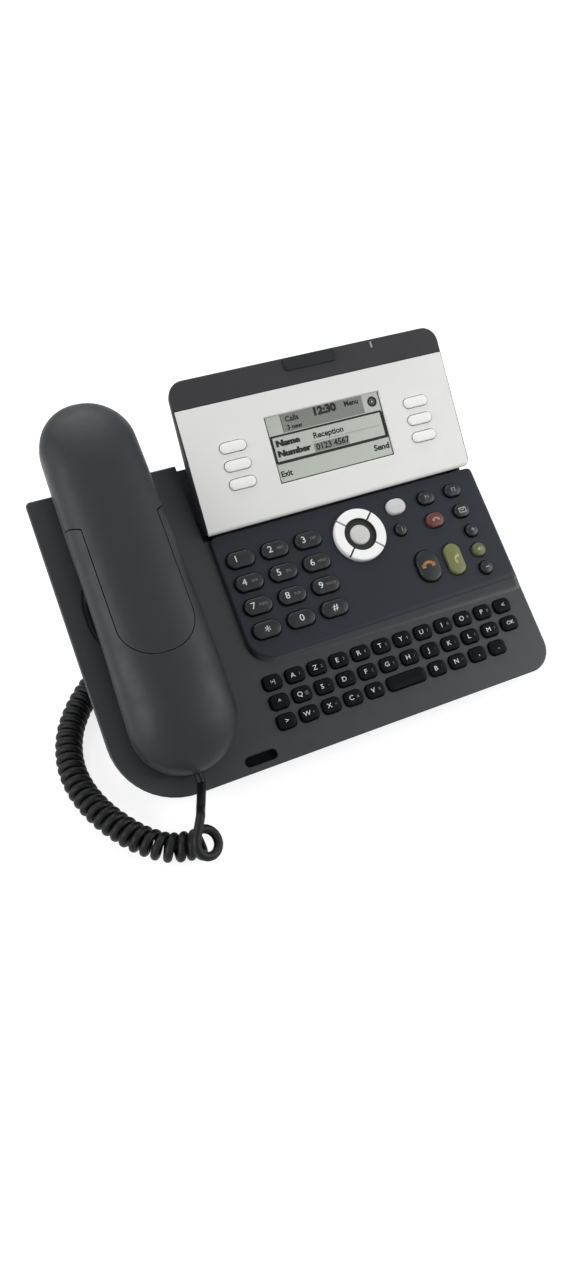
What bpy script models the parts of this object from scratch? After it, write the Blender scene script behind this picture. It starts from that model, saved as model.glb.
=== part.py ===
"""Desk IP phone: base, tilting display, handset on a curly cord, keys and folding foot."""

import math

import bmesh
import bpy
import numpy
from mathutils import Matrix, Vector

MM = 0.001

# Clearances and walls
GAP = 0.3 * MM                  # between pieces that meet
KEY_CLEARANCE = 0.4 * MM        # round a key in its hole
WALL = 2.5 * MM                 # covers of the base
SHELL_WALL = 2.2 * MM           # shells of the handset and the display

# Base, in its own tilted frame: u to the right, v up the slope, w out of the deck, zero at key 5
BASE_TILT = math.radians(35)
BASE_WIDTH = 252.3 * MM
BASE_LENGTH = 170.3 * MM
KEY_5_FROM_RIGHT = 134.3 * MM
KEY_5_FROM_FRONT = 95 * MM
FRONT_THICKNESS = 12.35 * MM
REAR_THICKNESS = 32.27 * MM
FRONT_PARTING = 7.4 * MM        # depth of the line between the two covers
REAR_PARTING = 16.6 * MM
FRONT_LEFT_RADIUS = 36 * MM
FRONT_RIGHT_RADIUS = 14 * MM
REAR_RADIUS = 2.8 * MM
EDGE_ROUND = 1.2 * MM
SIDE_DRAFT = 0.15               # lean of the walls, for each depth below the deck
BOTTOM_ROUND = 2 * MM

# Raised dial panel on the deck
PANEL_STEP = 3 * MM
PANEL_MARGIN = 1.5 * MM         # inside the panel's wall, left of the dial keys
PANEL_FRONT_MARGIN = 8 * MM
PANEL_REAR = 29 * MM
PANEL_CORNER = 13 * MM
PANEL_SIDE_INSET = 2 * MM
PANEL_ROUND = 1 * MM

# Well behind the panel, in which the display tilts
WELL_DEPTH = 12 * MM
WELL_CLEARANCE = 1.1 * MM       # left of the display

# Handset cradle in the deck
RECESS_FROM_LEFT = 10.5 * MM    # left end, inside the left edge of the base
RECESS_TUCK = 0.5 * MM          # right end, under the right side of the handset
RECESS_WIDTH = 36 * MM
RECESS_DEPTH = 5 * MM
RECESS_V = 4 * MM
MOUTH_SEAT_LENGTH = 44 * MM
MOUTH_SEAT_WIDTH = 34 * MM
MOUTH_SEAT_DEPTH = 1.2 * MM
MOUTH_SEAT_V = -61 * MM

# Slots in the deck
MIC_SLOT_U = -45.8 * MM
MIC_SLOT_V = -88.5 * MM
MIC_SLOT_LENGTH = 17.5 * MM
MIC_SLOT_WIDTH = 5 * MM
MIC_CAPSULE_MARGIN = 0.4 * MM   # round the slot
SOUND_SLOT_COUNT = 5
SOUND_SLOT_PITCH = 5 * MM
SOUND_SLOT_LENGTH = 12 * MM
SOUND_SLOT_WIDTH = 1.8 * MM
SPEAKER_V = -34 * MM
SPEAKER_RADIUS = 14 * MM
SPEAKER_HEIGHT = 5 * MM

# Keys
KEY_TRAVEL = 1 * MM
KEY_PROUD = 2.6 * MM
KEY_CROWN = 0.9 * MM
FLANGE_LIP = 1 * MM
FLANGE_HEIGHT = 1.3 * MM
DIAL_PITCH_U = 20 * MM
DIAL_PITCH_V = 13.5 * MM
DIAL_KEY_U = 16 * MM
DIAL_KEY_V = 9 * MM
LETTER_PITCH_U = 13.06 * MM
LETTER_PITCH_V = 10.71 * MM
LETTER_FIRST_U = -26.7 * MM
LETTER_FIRST_ROW = 11.1 * MM    # in front of the panel
LETTER_KEY_U = 10 * MM
LETTER_KEY_V = 7.4 * MM
LETTER_KEY_CORNER = 2.4 * MM
LETTER_PROUD = 2.2 * MM
LETTER_CROWN = 0.7 * MM
LETTER_WEB = 1.8 * MM
LETTER_WEB_MARGIN = 3.5 * MM
LETTER_ROWS = (
    tuple(range(12)),
    tuple(range(12)),
    (0, 1, 2, 3, 4, 7, 8, 9, 10),
)
SPACE_BAR_SLOTS = (5, 6)
FUNCTION_KEYS = (                 # name, centre in u and v, length and width, all in millimetres
    ("menu_key", 77.2, 18.1, 11.7, 9.0),
    ("info_key", 74.8, 4.4, 7.2, 7.2),
    ("function_key_1", 97.2, 18.1, 10.5, 7.6),
    ("function_key_2", 114.9, 18.2, 10.5, 7.6),
    ("release_key", 96.9, 4.2, 11.0, 8.6),
    ("message_key", 115.2, 5.1, 9.6, 8.0),
    ("volume_up_key", 116.4, -7.7, 7.6, 7.6),
    ("speaker_key", 115.7, -19.7, 8.0, 8.0),
    ("volume_down_key", 115.7, -30.8, 7.6, 7.6),
    ("call_key", 99.0, -20.8, 10.0, 18.5),
    ("redial_key", 82.0, -20.2, 13.5, 18.5),
)
RING_U = 50 * MM
RING_V = 8.1 * MM
RING_RADIUS = 15.2 * MM
RING_LAND = 9.4 * MM            # inner radius of the raised ring
RING_SINK = 1.8 * MM            # rubber collar inside the ring, below its top
OK_RADIUS = 5.8 * MM            # round key, guided by that collar

# Display, in its own frame: u to the right, h up the panel, n out of it
DISPLAY_LEFT = -32.8 * MM
DISPLAY_RIGHT_MARGIN = 3.7 * MM  # inside the right edge of the base
DISPLAY_HEIGHT = 83 * MM
BAND_HEIGHT = 15.5 * MM         # dark band above the silver panel
DISPLAY_DEPTH = 12 * MM
DISPLAY_SIDE = 1.3 * MM         # dark edge of the back shell beside the silver panel
DISPLAY_CORNER = 9 * MM
DISPLAY_FOOT_GAP = 0.55 * MM    # lower edge behind the dial panel
DISPLAY_FOOT_W = 3.26 * MM      # and above it
DISPLAY_TILT = math.radians(16.6)
PANEL_PLATE = 2.4 * MM
PANEL_ROLL = 2.2 * MM
HINGE_H = 3.5 * MM
HINGE_N = -6.2 * MM
HINGE_PIN_RADIUS = 1.5 * MM
HINGE_LUG_RADIUS = 3.2 * MM
HINGE_LUG_WIDTH = 4 * MM
LUG_CLEARANCE = 0.6 * MM        # round a lug in its slot
LCD_LEFT = 14.8 * MM
LCD_LOW = 17 * MM
LCD_WIDTH = 70.9 * MM
LCD_HEIGHT = 36.8 * MM
WINDOW_THICKNESS = 1.4 * MM
WINDOW_SUNK = 0.5 * MM
LCD_GLASS = 2.6 * MM
LCD_BOARD = 1.6 * MM
LCD_BOARD_MARGIN = 10 * MM
SOFT_KEY_U = 15 * MM
SOFT_KEY_V = 5.7 * MM
SOFT_KEY_COLUMNS = (-6.6 * MM, 106.7 * MM)
SOFT_KEY_LOW = 22.9 * MM
SOFT_KEY_PITCH = 10 * MM
SOFT_KEY_PROUD = 1.2 * MM
SOFT_KEY_CROWN = 0.5 * MM
TAB_LEFT = 34 * MM
TAB_WIDTH = 33 * MM
TAB_DROP = 7.6 * MM             # lower end of the tab, below the top of the display
TAB_HEIGHT = 7.2 * MM
TAB_PROUD = 1.4 * MM
LAMP_U = 88.6 * MM
LAMP_WIDTH = 6 * MM
LAMP_HEIGHT = 4 * MM
LAMP_PROUD = 0.6 * MM

# Handset, along v of the base's frame
HANDSET_LEFT_SHARE = 1 / 3      # of the free deck beside the handset, on its left
HANDSET_LOW = -86 * MM
HANDSET_LENGTH = 199 * MM
HANDSET_LOW_WIDTH = 55 * MM
HANDSET_TOP_WIDTH = 49.4 * MM
HANDSET_CROWN = 33 * MM
HANDSET_PARTING_LOW = 10 * MM
HANDSET_PARTING_MID = 16 * MM
PARTING_RISE = 65 * MM          # run over which the parting line climbs
HANDSET_ARCH = 8.5 * MM         # underside over the finger recess
ARCH_LOW = -44 * MM
ARCH_TOP = 48 * MM
ARCH_BLEND = 30 * MM
CROWN_END = 42 * MM             # run over which the back drops to the ends
BELLY_END = 14 * MM
BACK_POWER = 2.3                # roundness of the back's section; 2 is an ellipse
BELLY_POWER = 3.4
TONGUE_TOP = 50 * MM
TONGUE_SHOULDER = 43 * MM       # where its straight sides end
TONGUE_LOW = -28.2 * MM
TONGUE_WIDTH = 38.8 * MM
TONGUE_FLARE = 10 * MM
TONGUE_CORNER = 18 * MM
EARPIECE_FROM_TOP = 27 * MM
EARPIECE_RADIUS = 12 * MM
EARPIECE_HEIGHT = 7 * MM
EARPIECE_SEAT = 1 * MM          # rim round the earpiece opening
MOUTH_MIC_RADIUS = 5 * MM
MOUTH_MIC_HEIGHT = 5 * MM
MOUTH_MIC_SEAT = 0.5 * MM

# Hook switch plunger
HOOK_V = 56 * MM
HOOK_RADIUS = 3 * MM
HOOK_FLANGE = 4.5 * MM
HOOK_RISE = 3 * MM

# Boards, mats and jacks in the base
BOARD_DEPTH = 9 * MM
BOARD_THICKNESS = 1.2 * MM
BOARD_MARGIN = 6 * MM
BOSS_RADIUS = 2.5 * MM
BOSS_COUNT = 3
BOSS_FROM_PANEL = 1 * MM        # bosses that carry the board, in front of the panel
DOME_MAT_HEIGHT = 0.9 * MM
PLUG_U = 7.6 * MM
PLUG_W = 6.6 * MM
PLUG_LENGTH = 11 * MM
PLUG_TAIL = 3 * MM              # grip of the plug outside its socket
HANDSET_PLUG_W = 3.5 * MM
JACK_WALL = 1.6 * MM
JACK_U = -44 * MM
JACK_V = 10 * MM
NETWORK_U = 60 * MM
NETWORK_WIDTH = 16 * MM
NETWORK_HEIGHT = 10.5 * MM
NETWORK_LENGTH = 15 * MM
NETWORK_SOCKET_U = 12 * MM
NETWORK_SOCKET_W = 8 * MM
NETWORK_SOCKET_DEPTH = 9 * MM

# Foot and rubber
FOOT_LEFT = -36 * MM
FOOT_WIDTH = 126 * MM
FOOT_AXIS_V = 58 * MM
FOOT_AXIS_DROP = 4.8 * MM       # hinge axis below the underside
FOOT_BARREL = 4 * MM
FOOT_PLATE = 4 * MM
FOOT_PIN_RADIUS = 2 * MM
FOOT_PIN_LENGTH = 3 * MM
FOOT_LUG_WIDTH = 4 * MM
FOOT_LEAN = 9 * MM              # tip behind the hinge axis
PAD_HEIGHT = 3 * MM
PAD_DEPTH = 9 * MM
STRIP_V = -92 * MM
STRIP_DEPTH = 8 * MM
STRIP_PROUD = 2.43 * MM         # lowest corner of the base above the table
STRIP_LENGTH = 150 * MM

# Cord, in the table's frame: x to the right, y away, z up, zero on the table below key 5
WIRE = 4.1 * MM
COIL_DIAMETER = 14.2 * MM
COIL_PITCH = 5.9 * MM
FAN_PITCH = 8 * MM                # the first curls are pulled open by the handset
FAN_LENGTH = 22 * MM
CURL_POINTS = 8
AXIS_SPACING = 0.1 * MM
LEAD_SPACING = 2 * WIRE
ROUTE_STEPS = 40
CURL_RESOLUTION = 1
LEAD_RESOLUTION = 2
COIL_ROUTE = (
    (-89.1, -106.4, 12.5),
    (-92.7, -103.5, 8.6),
    (-98.0, -101.0, 7.2),
    (-105.5, -98.0, 7.2),
    (-112.5, -92.3, 7.2),
    (-120.5, -82.0, 7.2),
    (-129.3, -64.0, 7.2),
    (-134.0, -43.5, 7.2),
    (-133.0, -23.0, 7.2),
    (-125.5, -2.0, 7.2),
    (-110.0, 19.0, 7.2),
    (-91.0, 33.0, 7.2),
    (-67.0, 34.0, 7.2),
    (-48.5, 20.0, 7.2),
    (-45.0, -3.0, 7.2),
    (-53.0, -25.0, 7.2),
)
COIL_START = (-0.77, 0.28, 0.55)  # side of the first curl on which the handset's lead arrives
HANDSET_LEAD_ROUTE = (
    (-82.6, -80.5, 17.9),
    (-85.4, -87.0, 18.0),
    (-87.2, -92.5, 18.0),
)
BASE_LEAD_ROUTE = (
    (-56.0, -21.0, 20.5),
    (-53.0, -12.0, 25.0),
    (-48.5, 3.0, 28.5),
    (-45.4, 16.0, 31.5),
    (-44.2, 25.0, 37.0),
    (-44.0, 27.4, 44.0),
)

# Steps of round forms
CORNER_STEPS = 6
OVAL_STEPS = 4
CIRCLE_STEPS = 20
RING_STEPS = 28
PIN_STEPS = 12
LUG_STEPS = 8
ROLL_STEPS = 4
KEY_CORNER_STEPS = 1
HANDSET_STATIONS = 22
SECTION_STEPS = 12
FINE_STEPS = 6
SMOOTH_ANGLE = math.radians(35)

# Colours that several pieces share
DARK_SLATE = (0.045, 0.052, 0.056)
NEAR_BLACK = (0.016, 0.017, 0.018)
SILVER = (0.66, 0.66, 0.64)

BASE_RIGHT = KEY_5_FROM_RIGHT
BASE_LEFT = BASE_RIGHT - BASE_WIDTH
BASE_FRONT = -KEY_5_FROM_FRONT
BASE_REAR = BASE_FRONT + BASE_LENGTH
BASE_RADII = (FRONT_LEFT_RADIUS, FRONT_RIGHT_RADIUS, REAR_RADIUS, REAR_RADIUS)
PANEL_LEFT = -(DIAL_PITCH_U + DIAL_KEY_U / 2 + FLANGE_LIP + PANEL_MARGIN + WALL)
PANEL_FRONT = -(2 * DIAL_PITCH_V + DIAL_KEY_V / 2 + FLANGE_LIP + PANEL_FRONT_MARGIN + WALL)
LETTER_FIRST_V = PANEL_FRONT - LETTER_FIRST_ROW
DECK = -PANEL_STEP
DECK_UNDER = DECK - WALL
PANEL_UNDER = -WALL
WELL_FLOOR = -WELL_DEPTH
WELL_FRONT = PANEL_REAR
WELL_LEFT = DISPLAY_LEFT - DISPLAY_SIDE - WELL_CLEARANCE
DISPLAY_RIGHT = BASE_RIGHT - DISPLAY_RIGHT_MARGIN
DISPLAY_FOOT_V = PANEL_REAR + DISPLAY_FOOT_GAP
DISPLAY_SILVER = DISPLAY_HEIGHT - BAND_HEIGHT
TAB_LOW = DISPLAY_HEIGHT - TAB_DROP
HANDSET_FREE_DECK = PANEL_LEFT - BASE_LEFT - HANDSET_LOW_WIDTH
HANDSET_U = BASE_LEFT + HANDSET_LEFT_SHARE * HANDSET_FREE_DECK + HANDSET_LOW_WIDTH / 2
HANDSET_TOP = HANDSET_LOW + HANDSET_LENGTH
FAR = 4 * REAR_THICKNESS        # past the covers in any direction


def bottom_w(v):
    """Underside of the base at v: it falls away from the deck towards the rear."""
    share = (v - BASE_FRONT) / BASE_LENGTH
    return -(FRONT_THICKNESS + (REAR_THICKNESS - FRONT_THICKNESS) * share)


def parting_w(v):
    """Line between the top and the bottom cover at v."""
    share = (v - BASE_FRONT) / BASE_LENGTH
    return -(FRONT_PARTING + (REAR_PARTING - FRONT_PARTING) * share)


# The base stands on its front strip, so key 5 is this high above the table
STAND_HEIGHT = STRIP_PROUD - (
    BASE_FRONT * math.sin(BASE_TILT) + bottom_w(BASE_FRONT) * math.cos(BASE_TILT)
)
BASE_MATRIX = Matrix.Translation((0, 0, STAND_HEIGHT)) @ Matrix.Rotation(BASE_TILT, 4, "X")


def clear_scene():
    for old in list(bpy.data.objects):
        bpy.data.objects.remove(old, do_unlink=True)


def plastic(name, colour, roughness, metallic=0.0):
    """Material of one piece."""
    material = bpy.data.materials.new(name)
    material.use_nodes = True
    shader = material.node_tree.nodes["Principled BSDF"]
    shader.inputs["Base Color"].default_value = (*colour, 1)
    shader.inputs["Roughness"].default_value = roughness
    shader.inputs["Metallic"].default_value = metallic
    return material


def frame(name, parent, matrix):
    """Empty that carries pieces; matrix is in its parent's frame."""
    empty = bpy.data.objects.new(name, None)
    bpy.context.scene.collection.objects.link(empty)
    empty.parent = parent
    empty.matrix_local = matrix
    return empty


def solid(name, bm, parent, material=None, location=(0, 0, 0)):
    """Object from a bmesh; without a material it is a hidden cutter."""
    bmesh.ops.recalc_face_normals(bm, faces=bm.faces)
    mesh = bpy.data.meshes.new(name)
    bm.to_mesh(mesh)
    bm.free()
    made = bpy.data.objects.new(name, mesh)
    bpy.context.scene.collection.objects.link(made)
    made.parent = parent
    made.location = location
    if material:
        mesh.materials.append(material)
        mesh.shade_smooth()
        mesh.set_sharp_from_angle(angle=SMOOTH_ANGLE)
    else:
        made.hide_render = True
        made.display_type = "WIRE"
    return made


def boolean(target, tool, operation="DIFFERENCE"):
    modifier = target.modifiers.new(tool.name, "BOOLEAN")
    modifier.operation = operation
    modifier.object = tool
    modifier.solver = "EXACT"


def loft(rings, bm=None):
    """Closed body through rings of equal point counts."""
    bm = bm or bmesh.new()
    loops = [[bm.verts.new(point) for point in ring] for ring in rings]
    for low, high in zip(loops, loops[1:]):
        for index in range(len(low)):
            after = (index + 1) % len(low)
            bm.faces.new((low[index], low[after], high[after], high[index]))
    bm.faces.new(list(reversed(loops[0])))
    bm.faces.new(loops[-1])
    return bm


def prism(outline, low, high, bm=None):
    """Upright body on an outline in the first two axes."""
    return loft([[(a, b, low) for a, b in outline], [(a, b, high) for a, b in outline]], bm)


def swept(outline, low, high, bm=None):
    """Body along the first axis on an outline in the other two."""
    return loft([[(low, a, b) for a, b in outline], [(high, a, b) for a, b in outline]], bm)


def turned(profile, steps):
    """Ring-shaped body: a closed profile of radius and height, turned about the third axis."""
    bm = bmesh.new()
    loops = []
    for step in range(steps):
        angle = 2 * math.pi * step / steps
        loops.append([bm.verts.new((r * math.cos(angle), r * math.sin(angle), w)) for r, w in profile])
    for step in range(steps):
        near, next_loop = loops[step], loops[(step + 1) % steps]
        for index in range(len(profile)):
            after = (index + 1) % len(profile)
            bm.faces.new((near[index], next_loop[index], next_loop[after], near[after]))
    return bm


def box_outline(left, right, low, high):
    return [(left, low), (right, low), (right, high), (left, high)]


def arc(centre, radius, start, sweep, steps):
    """Points along a circle; start and sweep are in degrees."""
    angles = [math.radians(start + sweep * step / steps) for step in range(steps + 1)]
    return [(centre[0] + radius * math.cos(a), centre[1] + radius * math.sin(a)) for a in angles]


def corner_arc(quarter, corner, radius, inset, steps=CORNER_STEPS):
    """Rounding of one corner; the quarters run anticlockwise from the front left one."""
    side, end = ((1, 1), (-1, 1), (-1, -1), (1, -1))[quarter]
    centre = (corner[0] + side * radius, corner[1] + end * radius)
    return arc(centre, radius - inset, 180 + 90 * quarter, 90, steps)


def rounded_outline(left, right, front, rear, radii, inset=0.0, steps=CORNER_STEPS):
    """Rounded rectangle, anticlockwise from the front left; inset shrinks its corner radii too."""
    points = []
    for quarter, corner in enumerate(box_outline(left, right, front, rear)):
        points += corner_arc(quarter, corner, radii[quarter], inset, steps)
    return points


def oval_outline(size_a, size_b, centre=(0, 0)):
    """Stadium whose round ends lie along its longer side; a circle when the sides are equal."""
    radius = min(size_a, size_b) / 2
    if size_a == size_b:
        return circle_outline(radius, centre, 2 * OVAL_STEPS + 2)
    reach_a = size_a / 2 - radius
    reach_b = size_b / 2 - radius
    start = -90 if size_a > size_b else 0
    points = arc((centre[0] + reach_a, centre[1] + reach_b), radius, start, 180, OVAL_STEPS)
    points += arc((centre[0] - reach_a, centre[1] - reach_b), radius, start + 180, 180, OVAL_STEPS)
    return points


def circle_outline(radius, centre=(0, 0), steps=CIRCLE_STEPS):
    return arc(centre, radius, 0, 360, steps)[:-1]


def key_solid(size_a, size_b, ceiling, proud, crown, lip):
    """Key with a flange that is held under its cover and a slightly drawn-in top."""
    flange_top = ceiling - GAP
    flange_low = flange_top - FLANGE_HEIGHT
    levels = (
        (lip, flange_low),
        (lip, flange_top),
        (0, flange_top),
        (0, proud - crown),
        (-crown, proud),
    )
    rings = []
    for grow, w in levels:
        outline = oval_outline(size_a + 2 * grow, size_b + 2 * grow)
        rings.append([(a, b, w) for a, b in outline])
    return loft(rings)


clear_scene()
phone = frame("phone", None, Matrix.Identity(4))
base = frame("base", phone, BASE_MATRIX)
CORD_NODES = []


# Keys of the dial panel: name, centre, size and material
white_key = plastic("white_key", (0.80, 0.80, 0.78), 0.4)
dark_key = plastic("dark_key", (0.030, 0.034, 0.036), 0.45)
panel_keys = []
for index, digit in enumerate(("1", "2", "3", "4", "5", "6", "7", "8", "9", "star", "0", "hash")):
    column, row = index % 3, index // 3
    centre = ((column - 1) * DIAL_PITCH_U, (1 - row) * DIAL_PITCH_V)
    panel_keys.append((f"dial_key_{digit}", centre, (DIAL_KEY_U, DIAL_KEY_V), dark_key))
key_finishes = {
    "menu_key": white_key,
    "release_key": plastic("red_key", (0.30, 0.09, 0.09), 0.4),
    "speaker_key": plastic("green_key", (0.26, 0.28, 0.09), 0.4),
    "call_key": plastic("olive_key", (0.24, 0.26, 0.07), 0.4),
}
for name, u, v, length, width in FUNCTION_KEYS:
    finish = key_finishes.get(name, dark_key)
    panel_keys.append((name, (u * MM, v * MM), (length * MM, width * MM), finish))
for name, centre, size, material in panel_keys:
    body = key_solid(*size, PANEL_UNDER, KEY_PROUD, KEY_CROWN, FLANGE_LIP)
    solid(name, body, base, material, (*centre, 0))


# Navigator: a raised ring with a sunk floor, and the round key that stands in it
ring_profile = (
    (RING_LAND, PANEL_UNDER - GAP - FLANGE_HEIGHT),
    (RING_RADIUS + FLANGE_LIP, PANEL_UNDER - GAP - FLANGE_HEIGHT),
    (RING_RADIUS + FLANGE_LIP, PANEL_UNDER - GAP),
    (RING_RADIUS, PANEL_UNDER - GAP),
    (RING_RADIUS, KEY_PROUD - KEY_CROWN),
    (RING_RADIUS - KEY_CROWN, KEY_PROUD),
    (RING_LAND, KEY_PROUD),
)
solid("navigator_ring", turned(ring_profile, RING_STEPS), base, white_key, (RING_U, RING_V, 0))
mat_low = -BOARD_DEPTH + GAP
mat_top = mat_low + DOME_MAT_HEIGHT
ok_levels = (
    (OK_RADIUS, mat_top + KEY_TRAVEL + GAP),
    (OK_RADIUS, KEY_PROUD - KEY_CROWN),
    (OK_RADIUS - KEY_CROWN, KEY_PROUD),
)
ok_body = loft([[(a, b, w) for a, b in circle_outline(radius)] for radius, w in ok_levels])
solid("ok_key", ok_body, base, white_key, (RING_U, RING_V, 0))


# Letter keys: one moulded mat, its keys standing through the deck
def letter_centres():
    """Centre and length of every letter key and of the space bar."""
    places = []
    for row, slots in enumerate(LETTER_ROWS):
        for slot in slots:
            places.append((LETTER_FIRST_U + slot * LETTER_PITCH_U, row, LETTER_KEY_U))
    middle = sum(SPACE_BAR_SLOTS) / len(SPACE_BAR_SLOTS)
    bar = LETTER_KEY_U + (SPACE_BAR_SLOTS[-1] - SPACE_BAR_SLOTS[0]) * LETTER_PITCH_U
    places.append((LETTER_FIRST_U + middle * LETTER_PITCH_U, len(LETTER_ROWS) - 1, bar))
    return [(u, LETTER_FIRST_V - row * LETTER_PITCH_V, length) for u, row, length in places]


def letter_outline(place, grow):
    u, v, length = place
    half_u = length / 2 + grow
    half_v = LETTER_KEY_V / 2 + grow
    corner = LETTER_KEY_CORNER + grow
    sides = (u - half_u, u + half_u, v - half_v, v + half_v)
    return rounded_outline(*sides, (corner,) * 4, steps=KEY_CORNER_STEPS)


letter_places = letter_centres()
web_top = DECK_UNDER - GAP
web_low = web_top - LETTER_WEB
letter_top = DECK + LETTER_PROUD
web_left = LETTER_FIRST_U - LETTER_KEY_U / 2 - LETTER_WEB_MARGIN
last_slot = max(max(slots) for slots in LETTER_ROWS)
web_right = LETTER_FIRST_U + last_slot * LETTER_PITCH_U + LETTER_KEY_U / 2 + LETTER_WEB_MARGIN
web_rear = LETTER_FIRST_V + LETTER_KEY_V / 2 + LETTER_WEB_MARGIN
last_row = LETTER_FIRST_V - (len(LETTER_ROWS) - 1) * LETTER_PITCH_V
web_front = last_row - LETTER_KEY_V / 2 - LETTER_WEB_MARGIN
letter_keys = bmesh.new()
for place in letter_places:
    key_root = (web_low + web_top) / 2
    levels = ((0, key_root), (0, letter_top - LETTER_CROWN), (-LETTER_CROWN, letter_top))
    loft([[(u, v, w) for u, v in letter_outline(place, grow)] for grow, w in levels], letter_keys)
letter_mat = solid(
    "letter_key_mat", prism(box_outline(web_left, web_right, web_front, web_rear), web_low, web_top),
    base, plastic("letter_rubber", NEAR_BLACK, 0.6),
)
boolean(letter_mat, solid("letter_keys", letter_keys, base), "UNION")


# Base top cover: the deck, the raised panel and the skirt, moulded in one
slate = plastic("slate_cover", DARK_SLATE, 0.5)


def drafted(u, v, w):
    """Point of the base's walls at level w; below the deck they lean inwards, except at the rear."""
    pull = SIDE_DRAFT * max(DECK - w, 0)
    middle = (BASE_LEFT + BASE_RIGHT) / 2
    return u - pull * (u - middle) / (BASE_WIDTH / 2), v + pull * (BASE_REAR - v) / BASE_LENGTH, w


def base_ring(inset, height):
    """Base outline at an inset; height is a level or a function of v."""
    outline = rounded_outline(BASE_LEFT, BASE_RIGHT, BASE_FRONT, BASE_REAR, BASE_RADII, inset)
    return [drafted(u, v, height(v) if callable(height) else height) for u, v in outline]


def panel_ring(inset, w):
    radii = (PANEL_CORNER, WALL, WALL, WALL)
    right = BASE_RIGHT - PANEL_SIDE_INSET
    outline = rounded_outline(PANEL_LEFT, right, PANEL_FRONT, PANEL_REAR, radii, inset)
    return [(u, v, w) for u, v in outline]


roll_share = 1 - math.sqrt(0.5)
top_cover = solid("base_top_cover", loft([
    base_ring(0, parting_w),
    base_ring(0, DECK - EDGE_ROUND),
    base_ring(EDGE_ROUND * roll_share, DECK - EDGE_ROUND * roll_share),
    base_ring(EDGE_ROUND, DECK),
]), base, slate)
panel_block = loft([
    panel_ring(0, DECK - WALL / 2),
    panel_ring(0, -PANEL_ROUND),
    panel_ring(PANEL_ROUND * roll_share, -PANEL_ROUND * roll_share),
    panel_ring(PANEL_ROUND, 0),
])
boolean(top_cover, solid("panel_block", panel_block, base), "UNION")

well = prism(box_outline(WELL_LEFT, BASE_RIGHT + FAR, WELL_FRONT, BASE_REAR + FAR), WELL_FLOOR, FAR)
boolean(top_cover, solid("display_well", well, base))

deck_cavity = corner_arc(0, (BASE_LEFT, BASE_FRONT), FRONT_LEFT_RADIUS, WALL)
deck_cavity += corner_arc(1, (BASE_RIGHT, BASE_FRONT), FRONT_RIGHT_RADIUS, WALL)
deck_cavity += [
    (BASE_RIGHT - WALL, WELL_FRONT - WALL),
    (WELL_LEFT - WALL, WELL_FRONT - WALL),
    (WELL_LEFT - WALL, BASE_REAR - WALL),
    (BASE_LEFT + WALL, BASE_REAR - WALL),
]
cavity_low = -REAR_PARTING - WALL
deck_room = loft([[drafted(u, v, w) for u, v in deck_cavity] for w in (cavity_low, DECK_UNDER)])
boolean(top_cover, solid("deck_cavity", deck_room, base))
panel_cavity = rounded_outline(
    PANEL_LEFT, BASE_RIGHT - PANEL_SIDE_INSET, PANEL_FRONT, PANEL_REAR,
    (PANEL_CORNER, 2 * WALL, 2 * WALL, 2 * WALL), WALL,
)
boolean(top_cover, solid("panel_cavity", prism(panel_cavity, DECK_UNDER - WALL, PANEL_UNDER), base))
well_room = loft([base_ring(WALL, cavity_low), base_ring(WALL, WELL_FLOOR - WALL)])
boolean(top_cover, solid("well_cavity", well_room, base))

recess_left = BASE_LEFT + RECESS_FROM_LEFT
recess_right = HANDSET_U + HANDSET_LOW_WIDTH / 2 - RECESS_TUCK
recess_length = recess_right - recess_left
recess_centre = ((recess_left + recess_right) / 2, RECESS_V)
recess_floor = DECK - RECESS_DEPTH
bowl_outline = oval_outline(recess_length + 2 * WALL, RECESS_WIDTH + 2 * WALL, recess_centre)
bowl = prism(bowl_outline, recess_floor - WALL, DECK - WALL / 2)
boolean(top_cover, solid("finger_bowl", bowl, base), "UNION")
recess = prism(oval_outline(recess_length, RECESS_WIDTH, recess_centre), recess_floor, FAR)
boolean(top_cover, solid("finger_recess", recess, base))

deck_cuts = bmesh.new()
mouth_seat = oval_outline(MOUTH_SEAT_LENGTH, MOUTH_SEAT_WIDTH, (HANDSET_U, MOUTH_SEAT_V))
prism(mouth_seat, DECK - MOUTH_SEAT_DEPTH, FAR, deck_cuts)
mic_slot = oval_outline(MIC_SLOT_LENGTH, MIC_SLOT_WIDTH, (MIC_SLOT_U, MIC_SLOT_V))
prism(mic_slot, DECK_UNDER - WALL, FAR, deck_cuts)
for slot in range(SOUND_SLOT_COUNT):
    slot_u = HANDSET_U + (slot - (SOUND_SLOT_COUNT - 1) / 2) * SOUND_SLOT_PITCH
    slot_outline = oval_outline(SOUND_SLOT_WIDTH, SOUND_SLOT_LENGTH, (slot_u, SPEAKER_V))
    prism(slot_outline, DECK_UNDER - WALL, FAR, deck_cuts)
prism(circle_outline(HOOK_RADIUS + GAP, (HANDSET_U, HOOK_V)), DECK_UNDER - WALL, FAR, deck_cuts)
for name, centre, size, material in panel_keys:
    hole = oval_outline(size[0] + 2 * KEY_CLEARANCE, size[1] + 2 * KEY_CLEARANCE, centre)
    prism(hole, PANEL_UNDER - WALL / 2, FAR, deck_cuts)
ring_outline = circle_outline(RING_RADIUS + KEY_CLEARANCE, (RING_U, RING_V), RING_STEPS)
prism(ring_outline, PANEL_UNDER - WALL / 2, FAR, deck_cuts)
for place in letter_places:
    prism(letter_outline(place, KEY_CLEARANCE), DECK_UNDER - WALL / 2, FAR, deck_cuts)
boolean(top_cover, solid("deck_cuts", deck_cuts, base))


# Display hinge: two lugs rise from the well and hold one long pin
def display_point(h, n):
    """Point of the display's section, in v and w of the base."""
    v = DISPLAY_FOOT_V + h * math.cos(DISPLAY_TILT) - n * math.sin(DISPLAY_TILT)
    w = DISPLAY_FOOT_W + h * math.sin(DISPLAY_TILT) + n * math.cos(DISPLAY_TILT)
    return v, w


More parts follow.
